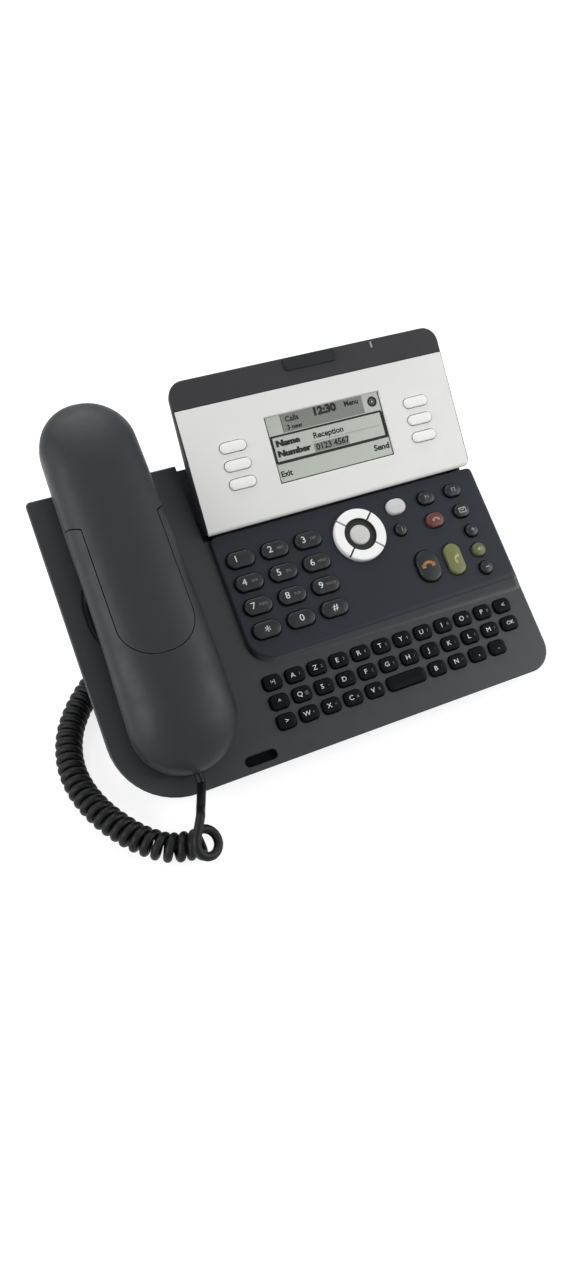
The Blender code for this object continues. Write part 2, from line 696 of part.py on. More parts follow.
hinge_v, hinge_w = display_point(HINGE_H, HINGE_N)
lug_inset = SHELL_WALL + LUG_CLEARANCE
lug_lefts = (DISPLAY_LEFT + lug_inset, DISPLAY_RIGHT - lug_inset - HINGE_LUG_WIDTH)
lugs = bmesh.new()
lug_bores = bmesh.new()
lug_root = WELL_FLOOR - WALL / 2
lug_outline = [(hinge_v - HINGE_LUG_RADIUS, lug_root), (hinge_v + HINGE_LUG_RADIUS, lug_root)]
lug_outline += arc((hinge_v, hinge_w), HINGE_LUG_RADIUS, 0, 180, LUG_STEPS)
for lug_left in lug_lefts:
    swept(lug_outline, lug_left, lug_left + HINGE_LUG_WIDTH, lugs)
    bore = circle_outline(HINGE_PIN_RADIUS + GAP, (hinge_v, hinge_w), PIN_STEPS)
    swept(bore, lug_left - GAP, lug_left + HINGE_LUG_WIDTH + GAP, lug_bores)
boolean(top_cover, solid("hinge_lugs", lugs, base), "UNION")
boolean(top_cover, solid("hinge_lug_bores", lug_bores, base))
steel = plastic("pin_steel", (0.55, 0.55, 0.56), 0.3, 1.0)
pin_outline = circle_outline(HINGE_PIN_RADIUS, (hinge_v, hinge_w), PIN_STEPS)
hinge_pin = swept(pin_outline, DISPLAY_LEFT - DISPLAY_SIDE / 2, DISPLAY_RIGHT + DISPLAY_SIDE / 2)
solid("hinge_pin", hinge_pin, base, steel)


# Base bottom cover: a tray with lugs for the foot and openings for the jacks
bottom_cover = solid("base_bottom_cover", loft([
    base_ring(BOTTOM_ROUND, bottom_w),
    base_ring(0, lambda v: bottom_w(v) + BOTTOM_ROUND),
    base_ring(0, lambda v: parting_w(v) - GAP),
]), base, plastic("slate_bottom", DARK_SLATE, 0.55))
tray_cavity = loft([base_ring(WALL, lambda v: bottom_w(v) + WALL), base_ring(WALL, DECK)])
boolean(bottom_cover, solid("tray_cavity", tray_cavity, base))

foot_axis_w = bottom_w(FOOT_AXIS_V) - FOOT_AXIS_DROP
foot_right = FOOT_LEFT + FOOT_WIDTH
foot_lugs = bmesh.new()
foot_bores = bmesh.new()
lug_top = bottom_w(FOOT_AXIS_V + FOOT_BARREL) + WALL / 2
foot_lug_outline = [(FOOT_AXIS_V + FOOT_BARREL, lug_top), (FOOT_AXIS_V - FOOT_BARREL, lug_top)]
foot_lug_outline += arc((FOOT_AXIS_V, foot_axis_w), FOOT_BARREL, 180, 180, LUG_STEPS)
for lug_left in (FOOT_LEFT - GAP - FOOT_LUG_WIDTH, foot_right + GAP):
    swept(foot_lug_outline, lug_left, lug_left + FOOT_LUG_WIDTH, foot_lugs)
    bore = circle_outline(FOOT_PIN_RADIUS + GAP, (FOOT_AXIS_V, foot_axis_w), PIN_STEPS)
    swept(bore, lug_left - GAP / 2, lug_left + FOOT_LUG_WIDTH + GAP / 2, foot_bores)
boolean(bottom_cover, solid("foot_lugs", foot_lugs, base), "UNION")
boolean(bottom_cover, solid("foot_lug_bores", foot_bores, base))

jack_half_u = PLUG_U / 2 + GAP + JACK_WALL
jack_half_v = PLUG_W / 2 + GAP + JACK_WALL
jack_low = bottom_w(JACK_V - jack_half_v) + GAP
tray_openings = bmesh.new()
prism(box_outline(
    JACK_U - jack_half_u - GAP, JACK_U + jack_half_u + GAP,
    JACK_V - jack_half_v - GAP, JACK_V + jack_half_v + GAP,
), -FAR, bottom_w(JACK_V) + 2 * WALL, tray_openings)
network_low = bottom_w(BASE_REAR - NETWORK_LENGTH) + WALL + GAP
network_high = network_low + NETWORK_HEIGHT
network_left = NETWORK_U - NETWORK_WIDTH / 2
prism(box_outline(
    network_left - GAP, network_left + NETWORK_WIDTH + GAP, BASE_REAR - 2 * WALL, BASE_REAR + FAR,
), network_low - GAP, FAR, tray_openings)
boolean(bottom_cover, solid("tray_openings", tray_openings, base))


# Boards, mats, speaker, microphone and jacks inside the base
board_left = PANEL_LEFT + BOARD_MARGIN
board_right = BASE_RIGHT - BOARD_MARGIN
board_front = web_front
board_rear = WELL_FRONT - WALL - GAP
bosses = bmesh.new()
for index in range(BOSS_COUNT):
    boss_u = board_left + (board_right - board_left) * (index + 0.5) / BOSS_COUNT
    boss = circle_outline(BOSS_RADIUS, (boss_u, PANEL_FRONT - BOSS_FROM_PANEL), PIN_STEPS)
    prism(boss, -BOARD_DEPTH + GAP, DECK_UNDER + WALL / 2, bosses)
boolean(top_cover, solid("board_bosses", bosses, base), "UNION")
board_green = plastic("board_green", (0.02, 0.09, 0.04), 0.5)
board_outline = box_outline(board_left, board_right, board_front, board_rear)
solid("main_board", prism(board_outline, -BOARD_DEPTH - BOARD_THICKNESS, -BOARD_DEPTH), base, board_green)
mat_outline = box_outline(board_left, board_right, PANEL_FRONT + BOARD_MARGIN, PANEL_REAR - BOARD_MARGIN)
dome_rubber = plastic("dome_rubber", (0.35, 0.35, 0.34), 0.7)
dome_mat = solid("dial_dome_mat", prism(mat_outline, mat_low, mat_top), base, dome_rubber)
collar_profile = (
    (OK_RADIUS + GAP, mat_low + DOME_MAT_HEIGHT / 2),
    (RING_LAND - GAP, mat_low + DOME_MAT_HEIGHT / 2),
    (RING_LAND - GAP, KEY_PROUD - RING_SINK),
    (OK_RADIUS + GAP, KEY_PROUD - RING_SINK),
)
collar = solid("ok_collar", turned(collar_profile, RING_STEPS), base, location=(RING_U, RING_V, 0))
boolean(dome_mat, collar, "UNION")

speaker = prism(circle_outline(SPEAKER_RADIUS), DECK_UNDER - GAP - SPEAKER_HEIGHT, DECK_UNDER - GAP)
black_parts = plastic("black_parts", NEAR_BLACK, 0.5)
solid("hands_free_speaker", speaker, base, black_parts, (HANDSET_U, SPEAKER_V, 0))
microphone = prism(
    oval_outline(MIC_SLOT_LENGTH + 2 * MIC_CAPSULE_MARGIN, MIC_SLOT_WIDTH + 2 * MIC_CAPSULE_MARGIN),
    DECK_UNDER - GAP - WALL, DECK_UNDER - GAP,
)
mic_capsule = plastic("mic_capsule", NEAR_BLACK, 0.6)
solid("base_microphone", microphone, base, mic_capsule, (MIC_SLOT_U, MIC_SLOT_V, 0))

jack_top = jack_low + PLUG_LENGTH + JACK_WALL
handset_jack = solid("handset_jack", prism(
    box_outline(-jack_half_u, jack_half_u, -jack_half_v, jack_half_v), jack_low, jack_top,
), base, plastic("jack_black", NEAR_BLACK, 0.5), (JACK_U, JACK_V, 0))
socket_half_u = PLUG_U / 2 + GAP
socket_half_v = PLUG_W / 2 + GAP
jack_socket = prism(
    box_outline(-socket_half_u, socket_half_u, -socket_half_v, socket_half_v),
    jack_low - WALL, jack_low + PLUG_LENGTH,
)
boolean(handset_jack, solid("jack_socket", jack_socket, base, location=(JACK_U, JACK_V, 0)))

network_jack = solid("network_jack", prism(
    box_outline(network_left, network_left + NETWORK_WIDTH, BASE_REAR - NETWORK_LENGTH, BASE_REAR),
    network_low, network_high,
), base, plastic("network_black", NEAR_BLACK, 0.5))
network_middle = (network_low + network_high) / 2
network_socket = prism(box_outline(
    NETWORK_U - NETWORK_SOCKET_U / 2, NETWORK_U + NETWORK_SOCKET_U / 2,
    BASE_REAR - NETWORK_SOCKET_DEPTH, BASE_REAR + WALL,
), network_middle - NETWORK_SOCKET_W / 2, network_middle + NETWORK_SOCKET_W / 2)
boolean(network_jack, solid("network_socket", network_socket, base))


# Handset shape: width, parting line, back and underside along its length
def smooth(t):
    t = min(max(t, 0), 1)
    return t * t * (3 - 2 * t)


def round_end(distance, run):
    """Share of full size at a distance from an end that rounds off over a run."""
    if distance >= run:
        return 1.0
    t = 1 - distance / run
    return math.sqrt(max(1 - t * t, 0))


def handset_section(v, wall=0.0):
    """Half width, parting level, height above it and depth below it at v, drawn in by a wall."""
    from_low = v - HANDSET_LOW - wall
    from_top = HANDSET_TOP - wall - v
    share = (v - HANDSET_LOW) / HANDSET_LENGTH
    full_width = HANDSET_LOW_WIDTH + (HANDSET_TOP_WIDTH - HANDSET_LOW_WIDTH) * share
    end = min(round_end(from_low, HANDSET_LOW_WIDTH / 2), round_end(from_top, HANDSET_TOP_WIDTH / 2))
    climb = smooth((v - HANDSET_LOW) / PARTING_RISE)
    parting = HANDSET_PARTING_LOW + (HANDSET_PARTING_MID - HANDSET_PARTING_LOW) * climb
    back = min(round_end(from_low, CROWN_END), round_end(from_top, CROWN_END))
    height = (HANDSET_CROWN - parting - wall) * back
    arch = smooth((v - ARCH_LOW) / ARCH_BLEND) * smooth((ARCH_TOP - v) / ARCH_BLEND)
    seat = DECK + GAP
    under = seat + (HANDSET_ARCH - seat) * arch
    belly = min(round_end(from_low, BELLY_END), round_end(from_top, BELLY_END))
    depth = (parting - under - wall) * belly
    return (full_width / 2 - wall) * end, parting, height, depth


def handset_stations(wall):
    """Places along the handset, closer together towards its round ends."""
    low = HANDSET_LOW + wall
    top = HANDSET_TOP - wall
    shares = [(1 - math.cos(math.pi * (k + 0.5) / HANDSET_STATIONS)) / 2 for k in range(HANDSET_STATIONS)]
    return [low + (top - low) * share for share in shares]


def half_arc(v, wall, side, power):
    """Half a section above (side 1) or below (side -1) the parting line, right to left."""
    half, parting, height, depth = handset_section(v, wall)
    reach = height if side > 0 else depth
    rise = GAP / 2 * side
    points = []
    for step in range(SECTION_STEPS + 1):
        angle = math.pi * step / SECTION_STEPS
        across = math.copysign(abs(math.cos(angle)) ** (2 / power), math.cos(angle))
        up = abs(math.sin(angle)) ** (2 / power)
        points.append((HANDSET_U + half * across, v, parting + rise + side * reach * up))
    return points


def half_shell(side, power):
    """Open half shell of the handset: outer skin, inner skin and the rim between them."""
    bm = bmesh.new()
    skins = []
    for wall in (0.0, SHELL_WALL):
        stations = handset_stations(wall)
        skins.append([[bm.verts.new(point) for point in half_arc(v, wall, side, power)] for v in stations])
    for skin in skins:
        for near, far_arc in zip(skin, skin[1:]):
            for index in range(len(near) - 1):
                bm.faces.new((near[index], near[index + 1], far_arc[index + 1], far_arc[index]))
        bm.faces.new(skin[0])
        bm.faces.new(list(reversed(skin[-1])))
    outer, inner = skins
    for edge in (0, -1):
        for index in range(len(outer) - 1):
            after = index + 1
            rim = (outer[index][edge], outer[after][edge], inner[after][edge], inner[index][edge])
            bm.faces.new(rim)
    for row in (0, -1):
        bm.faces.new((outer[row][0], outer[row][-1], inner[row][-1], inner[row][0]))
    return bm


def tongue_outline(grow):
    """Plan of the back cover: the whole top, with a round-ended tongue down the back."""
    half = TONGUE_WIDTH / 2 + grow
    low = TONGUE_LOW - grow
    corner = TONGUE_CORNER + grow
    points = arc((half - corner, low + corner), corner, 270, 90, CORNER_STEPS)
    points.append((half, TONGUE_SHOULDER - grow))
    points.append((half + TONGUE_FLARE, TONGUE_TOP - grow))
    points.append((half + TONGUE_FLARE, HANDSET_TOP + FAR))
    mirrored = [(-a, b) for a, b in reversed(points)]
    return [(HANDSET_U + a, b) for a, b in points + mirrored]


handset_slate = plastic("handset_slate", DARK_SLATE, 0.42)
back_cover = solid("handset_back_cover", half_shell(1, BACK_POWER), base, handset_slate)
boolean(back_cover, solid("tongue", prism(tongue_outline(0), -FAR, FAR), base), "INTERSECT")
lower_shell = solid("handset_lower_shell", half_shell(1, BACK_POWER), base, handset_slate)
boolean(lower_shell, solid("tongue_gap", prism(tongue_outline(GAP), -FAR, FAR), base))
handset_front = plastic("handset_front", DARK_SLATE, 0.5)
front_shell = solid("handset_front_shell", half_shell(-1, BELLY_POWER), base, handset_front)


# Handset inside: earpiece, microphone and the plug in the lower end
def handset_floor(v):
    """Inner floor of the front shell at v."""
    _, parting, _, depth = handset_section(v, SHELL_WALL)
    return parting - depth


earpiece_v = HANDSET_TOP - EARPIECE_FROM_TOP
earpiece_low = handset_floor(earpiece_v) + EARPIECE_SEAT
earpiece = prism(circle_outline(EARPIECE_RADIUS), earpiece_low, earpiece_low + EARPIECE_HEIGHT)
earpiece_black = plastic("earpiece_black", NEAR_BLACK, 0.5)
solid("earpiece_speaker", earpiece, base, earpiece_black, (HANDSET_U, earpiece_v, 0))
mouth_low = handset_floor(MOUTH_SEAT_V) + MOUTH_MIC_SEAT
mouth_mic = prism(circle_outline(MOUTH_MIC_RADIUS), mouth_low, mouth_low + MOUTH_MIC_HEIGHT)
mouth_mic_black = plastic("mouth_mic_black", NEAR_BLACK, 0.5)
solid("handset_microphone", mouth_mic, base, mouth_mic_black, (HANDSET_U, MOUTH_SEAT_V, 0))

plug_end_v = HANDSET_LOW + GAP
plug_black = plastic("plug_black", NEAR_BLACK, 0.35)
plug_side = box_outline(plug_end_v, plug_end_v + PLUG_LENGTH, -PLUG_W / 2, PLUG_W / 2)
handset_plug = swept(plug_side, -PLUG_U / 2, PLUG_U / 2)
solid("handset_plug", handset_plug, base, plug_black, (HANDSET_U, 0, HANDSET_PLUG_W))
plug_hole = swept(
    box_outline(HANDSET_LOW - FAR, plug_end_v + PLUG_LENGTH, -PLUG_W / 2 - GAP, PLUG_W / 2 + GAP),
    -PLUG_U / 2 - GAP, PLUG_U / 2 + GAP,
)
boolean(front_shell, solid("plug_hole", plug_hole, base, location=(HANDSET_U, 0, HANDSET_PLUG_W)))


# Hook switch plunger, held down by the handset
hook_top = DECK_UNDER - GAP - HOOK_RISE
hook_levels = (
    (HOOK_FLANGE, hook_top - FLANGE_HEIGHT),
    (HOOK_FLANGE, hook_top),
    (HOOK_RADIUS, hook_top),
    (HOOK_RADIUS, DECK),
)
hook = loft([[(a, b, w) for a, b in circle_outline(radius)] for radius, w in hook_levels])
solid("hook_switch", hook, base, plastic("hook_grey", (0.20, 0.20, 0.21), 0.5), (HANDSET_U, HOOK_V, 0))


# Display: everything hangs on an empty that sits on the hinge pin
hinge_matrix = Matrix.Translation((0, hinge_v, hinge_w)) @ Matrix.Rotation(DISPLAY_TILT, 4, "X")
display_hinge = frame("display_hinge", base, hinge_matrix)
display = frame("display", display_hinge, Matrix.Translation((0, -HINGE_H, -HINGE_N)))
soft_keys = []
for side, column in zip(("left", "right"), SOFT_KEY_COLUMNS):
    for row, place in enumerate(("low", "middle", "high")):
        soft_keys.append((f"soft_key_{side}_{place}", (column, SOFT_KEY_LOW + row * SOFT_KEY_PITCH)))

panel_section = [(DISPLAY_SILVER, 0)]
panel_section += arc((PANEL_ROLL, -PANEL_ROLL), PANEL_ROLL, 90, 90, ROLL_STEPS)
panel_section += [(0, -PANEL_PLATE), (DISPLAY_SILVER, -PANEL_PLATE)]
silver_panel = solid(
    "display_front_panel", swept(panel_section, DISPLAY_LEFT, DISPLAY_RIGHT), display,
    plastic("silver_paint", SILVER, 0.4, 0.3),
)
lcd_outline = box_outline(LCD_LEFT, LCD_LEFT + LCD_WIDTH, LCD_LOW, LCD_LOW + LCD_HEIGHT)
panel_cuts = prism(lcd_outline, -FAR, FAR)
for name, centre in soft_keys:
    hole = oval_outline(SOFT_KEY_U + 2 * KEY_CLEARANCE, SOFT_KEY_V + 2 * KEY_CLEARANCE, centre)
    prism(hole, -FAR, FAR, panel_cuts)
boolean(silver_panel, solid("panel_cuts", panel_cuts, display))
for name, centre in soft_keys:
    body = key_solid(SOFT_KEY_U, SOFT_KEY_V, -PANEL_PLATE, SOFT_KEY_PROUD, SOFT_KEY_CROWN, FLANGE_LIP)
    solid(name, body, display, white_key, (*centre, 0))

window_outline = box_outline(
    LCD_LEFT + GAP, LCD_LEFT + LCD_WIDTH - GAP, LCD_LOW + GAP, LCD_LOW + LCD_HEIGHT - GAP,
)
solid(
    "lcd_window", prism(window_outline, -WINDOW_SUNK - WINDOW_THICKNESS, -WINDOW_SUNK), display,
    plastic("clear_window", (0.70, 0.74, 0.70), 0.1),
)
glass_outline = box_outline(
    LCD_LEFT - WALL, LCD_LEFT + LCD_WIDTH + WALL, LCD_LOW - WALL, LCD_LOW + LCD_HEIGHT + WALL,
)
lcd_board_outline = box_outline(
    SOFT_KEY_COLUMNS[0] - LCD_BOARD_MARGIN, SOFT_KEY_COLUMNS[1] + LCD_BOARD_MARGIN,
    LCD_LOW - LCD_BOARD_MARGIN / 2, LCD_LOW + LCD_HEIGHT + LCD_BOARD_MARGIN / 2,
)
glass_top = -PANEL_PLATE - GAP
glass_low = glass_top - LCD_GLASS
solid("lcd_module", loft([
    [(a, b, glass_low - LCD_BOARD) for a, b in lcd_board_outline],
    [(a, b, glass_low) for a, b in lcd_board_outline],
    [(a, b, glass_low) for a, b in glass_outline],
    [(a, b, glass_top) for a, b in glass_outline],
]), display, plastic("lcd_grey", (0.45, 0.52, 0.42), 0.3))

shell_left = DISPLAY_LEFT - DISPLAY_SIDE
shell_right = DISPLAY_RIGHT + DISPLAY_SIDE
shell_low = PANEL_ROLL / 2
shell_outline = rounded_outline(
    shell_left, shell_right, shell_low, DISPLAY_HEIGHT, (WALL, WALL, DISPLAY_CORNER, DISPLAY_CORNER),
)
band_grey = plastic("band_grey", (0.05, 0.05, 0.052), 0.45)
back_shell = solid("display_back_shell", prism(shell_outline, -DISPLAY_DEPTH, 0), display, band_grey)
tab_outline = rounded_outline(TAB_LEFT, TAB_LEFT + TAB_WIDTH, TAB_LOW, TAB_LOW + TAB_HEIGHT, (WALL,) * 4)
boolean(back_shell, solid("grip_tab", prism(tab_outline, -PANEL_PLATE, TAB_PROUD), display), "UNION")
panel_pocket = box_outline(DISPLAY_LEFT - GAP, DISPLAY_RIGHT + GAP, -FAR, DISPLAY_SILVER + GAP)
boolean(back_shell, solid("panel_pocket", prism(panel_pocket, -PANEL_PLATE - GAP, FAR), display))
shell_cavity = box_outline(
    shell_left + SHELL_WALL, shell_right - SHELL_WALL, -FAR, DISPLAY_HEIGHT - DISPLAY_CORNER / 2,
)
boolean(back_shell, solid(
    "shell_cavity", prism(shell_cavity, -DISPLAY_DEPTH + SHELL_WALL, -PANEL_PLATE - GAP / 2), display,
))
lug_slots = bmesh.new()
for lug_left in lug_lefts:
    lug_slot = box_outline(
        lug_left - LUG_CLEARANCE, lug_left + HINGE_LUG_WIDTH + LUG_CLEARANCE,
        -FAR, HINGE_H + HINGE_LUG_RADIUS + LUG_CLEARANCE,
    )
    prism(lug_slot, -FAR, -DISPLAY_DEPTH + SHELL_WALL + GAP, lug_slots)
boolean(back_shell, solid("lug_slots", lug_slots, display))
lamp_high = DISPLAY_HEIGHT - SHELL_WALL
lamp_low = lamp_high - LAMP_HEIGHT
lamp_hole = box_outline(
    LAMP_U - LAMP_WIDTH / 2 - GAP, LAMP_U + LAMP_WIDTH / 2 + GAP, lamp_low - GAP, lamp_high + GAP,
)
boolean(back_shell, solid("lamp_hole", prism(lamp_hole, -PANEL_PLATE, FAR), display))
lamp_outline = box_outline(LAMP_U - LAMP_WIDTH / 2, LAMP_U + LAMP_WIDTH / 2, lamp_low, lamp_high)
solid(
    "message_lamp", prism(lamp_outline, -PANEL_PLATE + GAP, LAMP_PROUD), display,
    plastic("lamp_lens", (0.62, 0.62, 0.60), 0.2),
)
pin_hole = circle_outline(HINGE_PIN_RADIUS + GAP, (HINGE_H, HINGE_N), PIN_STEPS)
pin_holes = swept(pin_hole, shell_left - GAP, shell_right + GAP)
boolean(back_shell, solid("pin_holes", pin_holes, display))


# Folding foot: a plate on a barrel, drawn in the table's upright plane about its axis
foot_axis = BASE_MATRIX @ Vector((0, FOOT_AXIS_V, foot_axis_w))
foot_hinge = frame("foot_hinge", phone, Matrix.Translation(foot_axis))
tip_z = PAD_HEIGHT + GAP - foot_axis.z
along = Vector((FOOT_LEAN, tip_z)).normalized()
across = Vector((-along.y, along.x))
half_plate = FOOT_PLATE / 2
neck = math.asin(half_plate / FOOT_BARREL)
barrel = arc((0, 0), FOOT_BARREL, math.degrees(neck), 360 - 2 * math.degrees(neck), PIN_STEPS)
foot_section = [tuple(a * along + b * across) for a, b in barrel]
for side in (-1, 1):
    reach = (tip_z - side * half_plate * across.y) / along.y
    foot_section.append(tuple(reach * along + side * half_plate * across))
rubber = plastic("foot_rubber", (0.02, 0.02, 0.02), 0.8)
foot_slate = plastic("foot_slate", DARK_SLATE, 0.55)
foot = solid("foot_stand", swept(foot_section, FOOT_LEFT, foot_right), foot_hinge, foot_slate)
pin_ends = bmesh.new()
foot_pin = circle_outline(FOOT_PIN_RADIUS, steps=PIN_STEPS)
swept(foot_pin, FOOT_LEFT - FOOT_PIN_LENGTH, FOOT_LEFT + FOOT_PIN_LENGTH, pin_ends)
swept(foot_pin, foot_right - FOOT_PIN_LENGTH, foot_right + FOOT_PIN_LENGTH, pin_ends)
boolean(foot, solid("foot_pins", pin_ends, foot_hinge), "UNION")
pad_low = -foot_axis.z
pad_section = box_outline(FOOT_LEAN - PAD_DEPTH / 2, FOOT_LEAN + PAD_DEPTH / 2, pad_low, pad_low + PAD_HEIGHT)
solid("foot_pad", swept(pad_section, FOOT_LEFT + WALL, foot_right - WALL), foot_hinge, rubber)

# Rubber strip under the front edge, flat on the table
strip_top = [BASE_MATRIX @ Vector((0, v, bottom_w(v) - GAP)) for v in (STRIP_V, STRIP_V + STRIP_DEPTH)]
strip_section = [
    (strip_top[0].y, 0), (strip_top[1].y, 0),
    (strip_top[1].y, strip_top[1].z), (strip_top[0].y, strip_top[0].z),
]
strip_middle = (BASE_LEFT + FRONT_LEFT_RADIUS + BASE_RIGHT - FRONT_RIGHT_RADIUS) / 2
strip = swept(strip_section, strip_middle - STRIP_LENGTH / 2, strip_middle + STRIP_LENGTH / 2)
solid("front_rubber_strip", strip, phone, plastic("strip_rubber", (0.02, 0.02, 0.02), 0.8))


# Cord: a curly tube on a smooth axis, with a straight lead at each end
def smooth_route(points, spacing):
    """Even points on a smooth curve; the first and the last given point only set its directions."""
    fine = []
    for before, start, end, after in zip(points, points[1:], points[2:], points[3:]):
        for step in range(ROUTE_STEPS):
            t = step / ROUTE_STEPS
            fine.append(0.5 * (
                2 * start + (end - before) * t + (2 * before - 5 * start + 4 * end - after) * t * t
                + (3 * start - before - 3 * end + after) * t ** 3
            ))
    fine.append(points[-2])
    lengths = [0.0]
    for near, next_point in zip(fine, fine[1:]):
        lengths.append(lengths[-1] + (next_point - near).length)
    count = max(round(lengths[-1] / spacing), 2)
    evened = []
    index = 0
    for step in range(count + 1):
        target = lengths[-1] * step / count
        while index < len(lengths) - 2 and lengths[index + 1] < target:
            index += 1
        span = lengths[index + 1] - lengths[index]
        evened.append(fine[index].lerp(fine[index + 1], (target - lengths[index]) / span))
    return evened


def coil_points(axis_points):
    """Helix round an axis that is sampled closely; the frame is carried along without twist."""
    radius = (COIL_DIAMETER - WIRE) / 2
    step_length = (axis_points[1] - axis_points[0]).length
    tangent = (axis_points[1] - axis_points[0]).normalized()
    side = tangent.cross(Vector(COIL_START)).normalized()
    up = side.cross(tangent)
    phase = 0.0
    due = 0.0
    points = []
    for index, centre in enumerate(axis_points[:-1]):
        next_tangent = (axis_points[index + 1] - centre).normalized()
        turn = tangent.rotation_difference(next_tangent)
        up = turn @ up
        side = next_tangent.cross(up)
        tangent = next_tangent
        if phase >= due:
            points.append(centre + radius * (math.cos(phase) * up - math.sin(phase) * side))
            due += 2 * math.pi / CURL_POINTS
        travelled = index * step_length
        opening = smooth((travelled - FAN_LENGTH / 2) / (FAN_LENGTH / 2))
        pitch = FAN_PITCH + (COIL_PITCH - FAN_PITCH) * opening
        phase += 2 * math.pi * step_length / pitch
    return points


def least_gap(points):
    """Clear distance between curls, measured on points set closely along the tube."""
    fine = []
    for near, next_point in zip(points, points[1:]):
        fine += [near.lerp(next_point, step / FINE_STEPS) for step in range(FINE_STEPS)]
    samples = numpy.array(fine)
    skip = 2 * FINE_STEPS * CURL_POINTS // 3
    least = min(
        numpy.linalg.norm(samples[index + skip:] - samples[index], axis=1).min()
        for index in range(len(samples) - skip)
    )
    return least - WIRE


def cord_tube(name, points, resolution, material):
    """Tube along points, with closed ends."""
    curve = bpy.data.curves.new(name, "CURVE")
    curve.dimensions = "3D"
    curve.bevel_depth = WIRE / 2
    curve.bevel_resolution = resolution
    curve.use_fill_caps = True
    spline = curve.splines.new("POLY")
    spline.points.add(len(points) - 1)
    for place, point in zip(spline.points, points):
        place.co = (*point, 1)
    curve.materials.append(material)
    tube = bpy.data.objects.new(name, curve)
    bpy.context.scene.collection.objects.link(tube)
    tube.parent = phone
    CORD_NODES.append(name)


cord_black = plastic("cord_black", NEAR_BLACK, 0.4)
coil_route = [Vector(point) * MM for point in COIL_ROUTE]
coil_route = [2 * coil_route[0] - coil_route[1]] + coil_route + [2 * coil_route[-1] - coil_route[-2]]
coil_axis = smooth_route(coil_route, AXIS_SPACING)
curls = coil_points(coil_axis)
rises = [(near - far_point).normalized().z for far_point, near in zip(curls, curls[1:])]
steepest = max(range(len(rises) - CURL_POINTS, len(rises)), key=rises.__getitem__)
curls = curls[:steepest + 2]
first_run = (curls[0] - curls[1]).normalized()
last_run = (curls[-1] - curls[-2]).normalized()
coil = [curls[0] + first_run * WIRE] + curls + [curls[-1] + last_run * WIRE]
cord_tube("curly_cord", coil, CURL_RESOLUTION, cord_black)
print("curly cord: curls", len(curls) / CURL_POINTS, "least gap mm", least_gap(coil) / MM)


def lead(name, start, start_run, route, end, end_run):
    """Smooth lead between two faces, which it meets squarely after a straight run of one diameter."""
    points = [start, start + start_run * WIRE]
    points += [Vector(point) * MM for point in route]
    points += [end - end_run * WIRE, end]
    cord_tube(name, [start] + smooth_route(points, LEAD_SPACING) + [end], LEAD_RESOLUTION, cord_black)


slope_up = BASE_MATRIX.to_3x3() @ Vector((0, 1, 0))
deck_out = BASE_MATRIX.to_3x3() @ Vector((0, 0, 1))
handset_exit = BASE_MATRIX @ Vector((HANDSET_U, plug_end_v - GAP, HANDSET_PLUG_W))
lead(
    "handset_lead", handset_exit, -slope_up, HANDSET_LEAD_ROUTE,
    coil[0] + first_run * GAP, -first_run,
)
base_plug = prism(
    box_outline(-PLUG_U / 2, PLUG_U / 2, -PLUG_W / 2, PLUG_W / 2),
    jack_low - PLUG_TAIL, jack_low + PLUG_LENGTH - GAP,
)
solid("base_plug", base_plug, base, plug_black, (JACK_U, JACK_V, 0))
base_exit = BASE_MATRIX @ Vector((JACK_U, JACK_V, jack_low - PLUG_TAIL - GAP))
lead(
    "base_lead", coil[-1] + last_run * GAP, last_run, BASE_LEAD_ROUTE,
    base_exit, deck_out,
)
CORD_NODES += ["handset_plug", "base_plug"]


# Origin: on the table, under the middle of the phone without its cord
def phone_box():
    """Lowest and highest corner of every piece but the cord, as they stand."""
    graph = bpy.context.evaluated_depsgraph_get()
    corners = []
    for piece in bpy.data.objects:
        if piece.type == "MESH" and not piece.hide_render and piece.name not in CORD_NODES:
            shown = piece.evaluated_get(graph)
            corners += [shown.matrix_world @ vertex.co for vertex in shown.data.vertices]
    places = numpy.array(corners)
    return places.min(axis=0), places.max(axis=0)


low_corner, high_corner = phone_box()
middle = (low_corner + high_corner) / 2
phone.location = (-middle[0], -middle[1], -low_corner[2])
bpy.context.view_layer.update()
for label, place in (
    ("deck normal", deck_out),
    ("panel normal", (display.matrix_world.to_3x3() @ Vector((0, 0, 1)))),
    ("display hinge", display_hinge.matrix_world.translation),
    ("foot hinge", foot_hinge.matrix_world.translation),
    ("base frame", base.matrix_world.translation),
):
    print(label, [round(value, 6) for value in place])
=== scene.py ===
import math

import bmesh
import bpy
from mathutils import Matrix, Vector
from mathutils.bvhtree import BVHTree


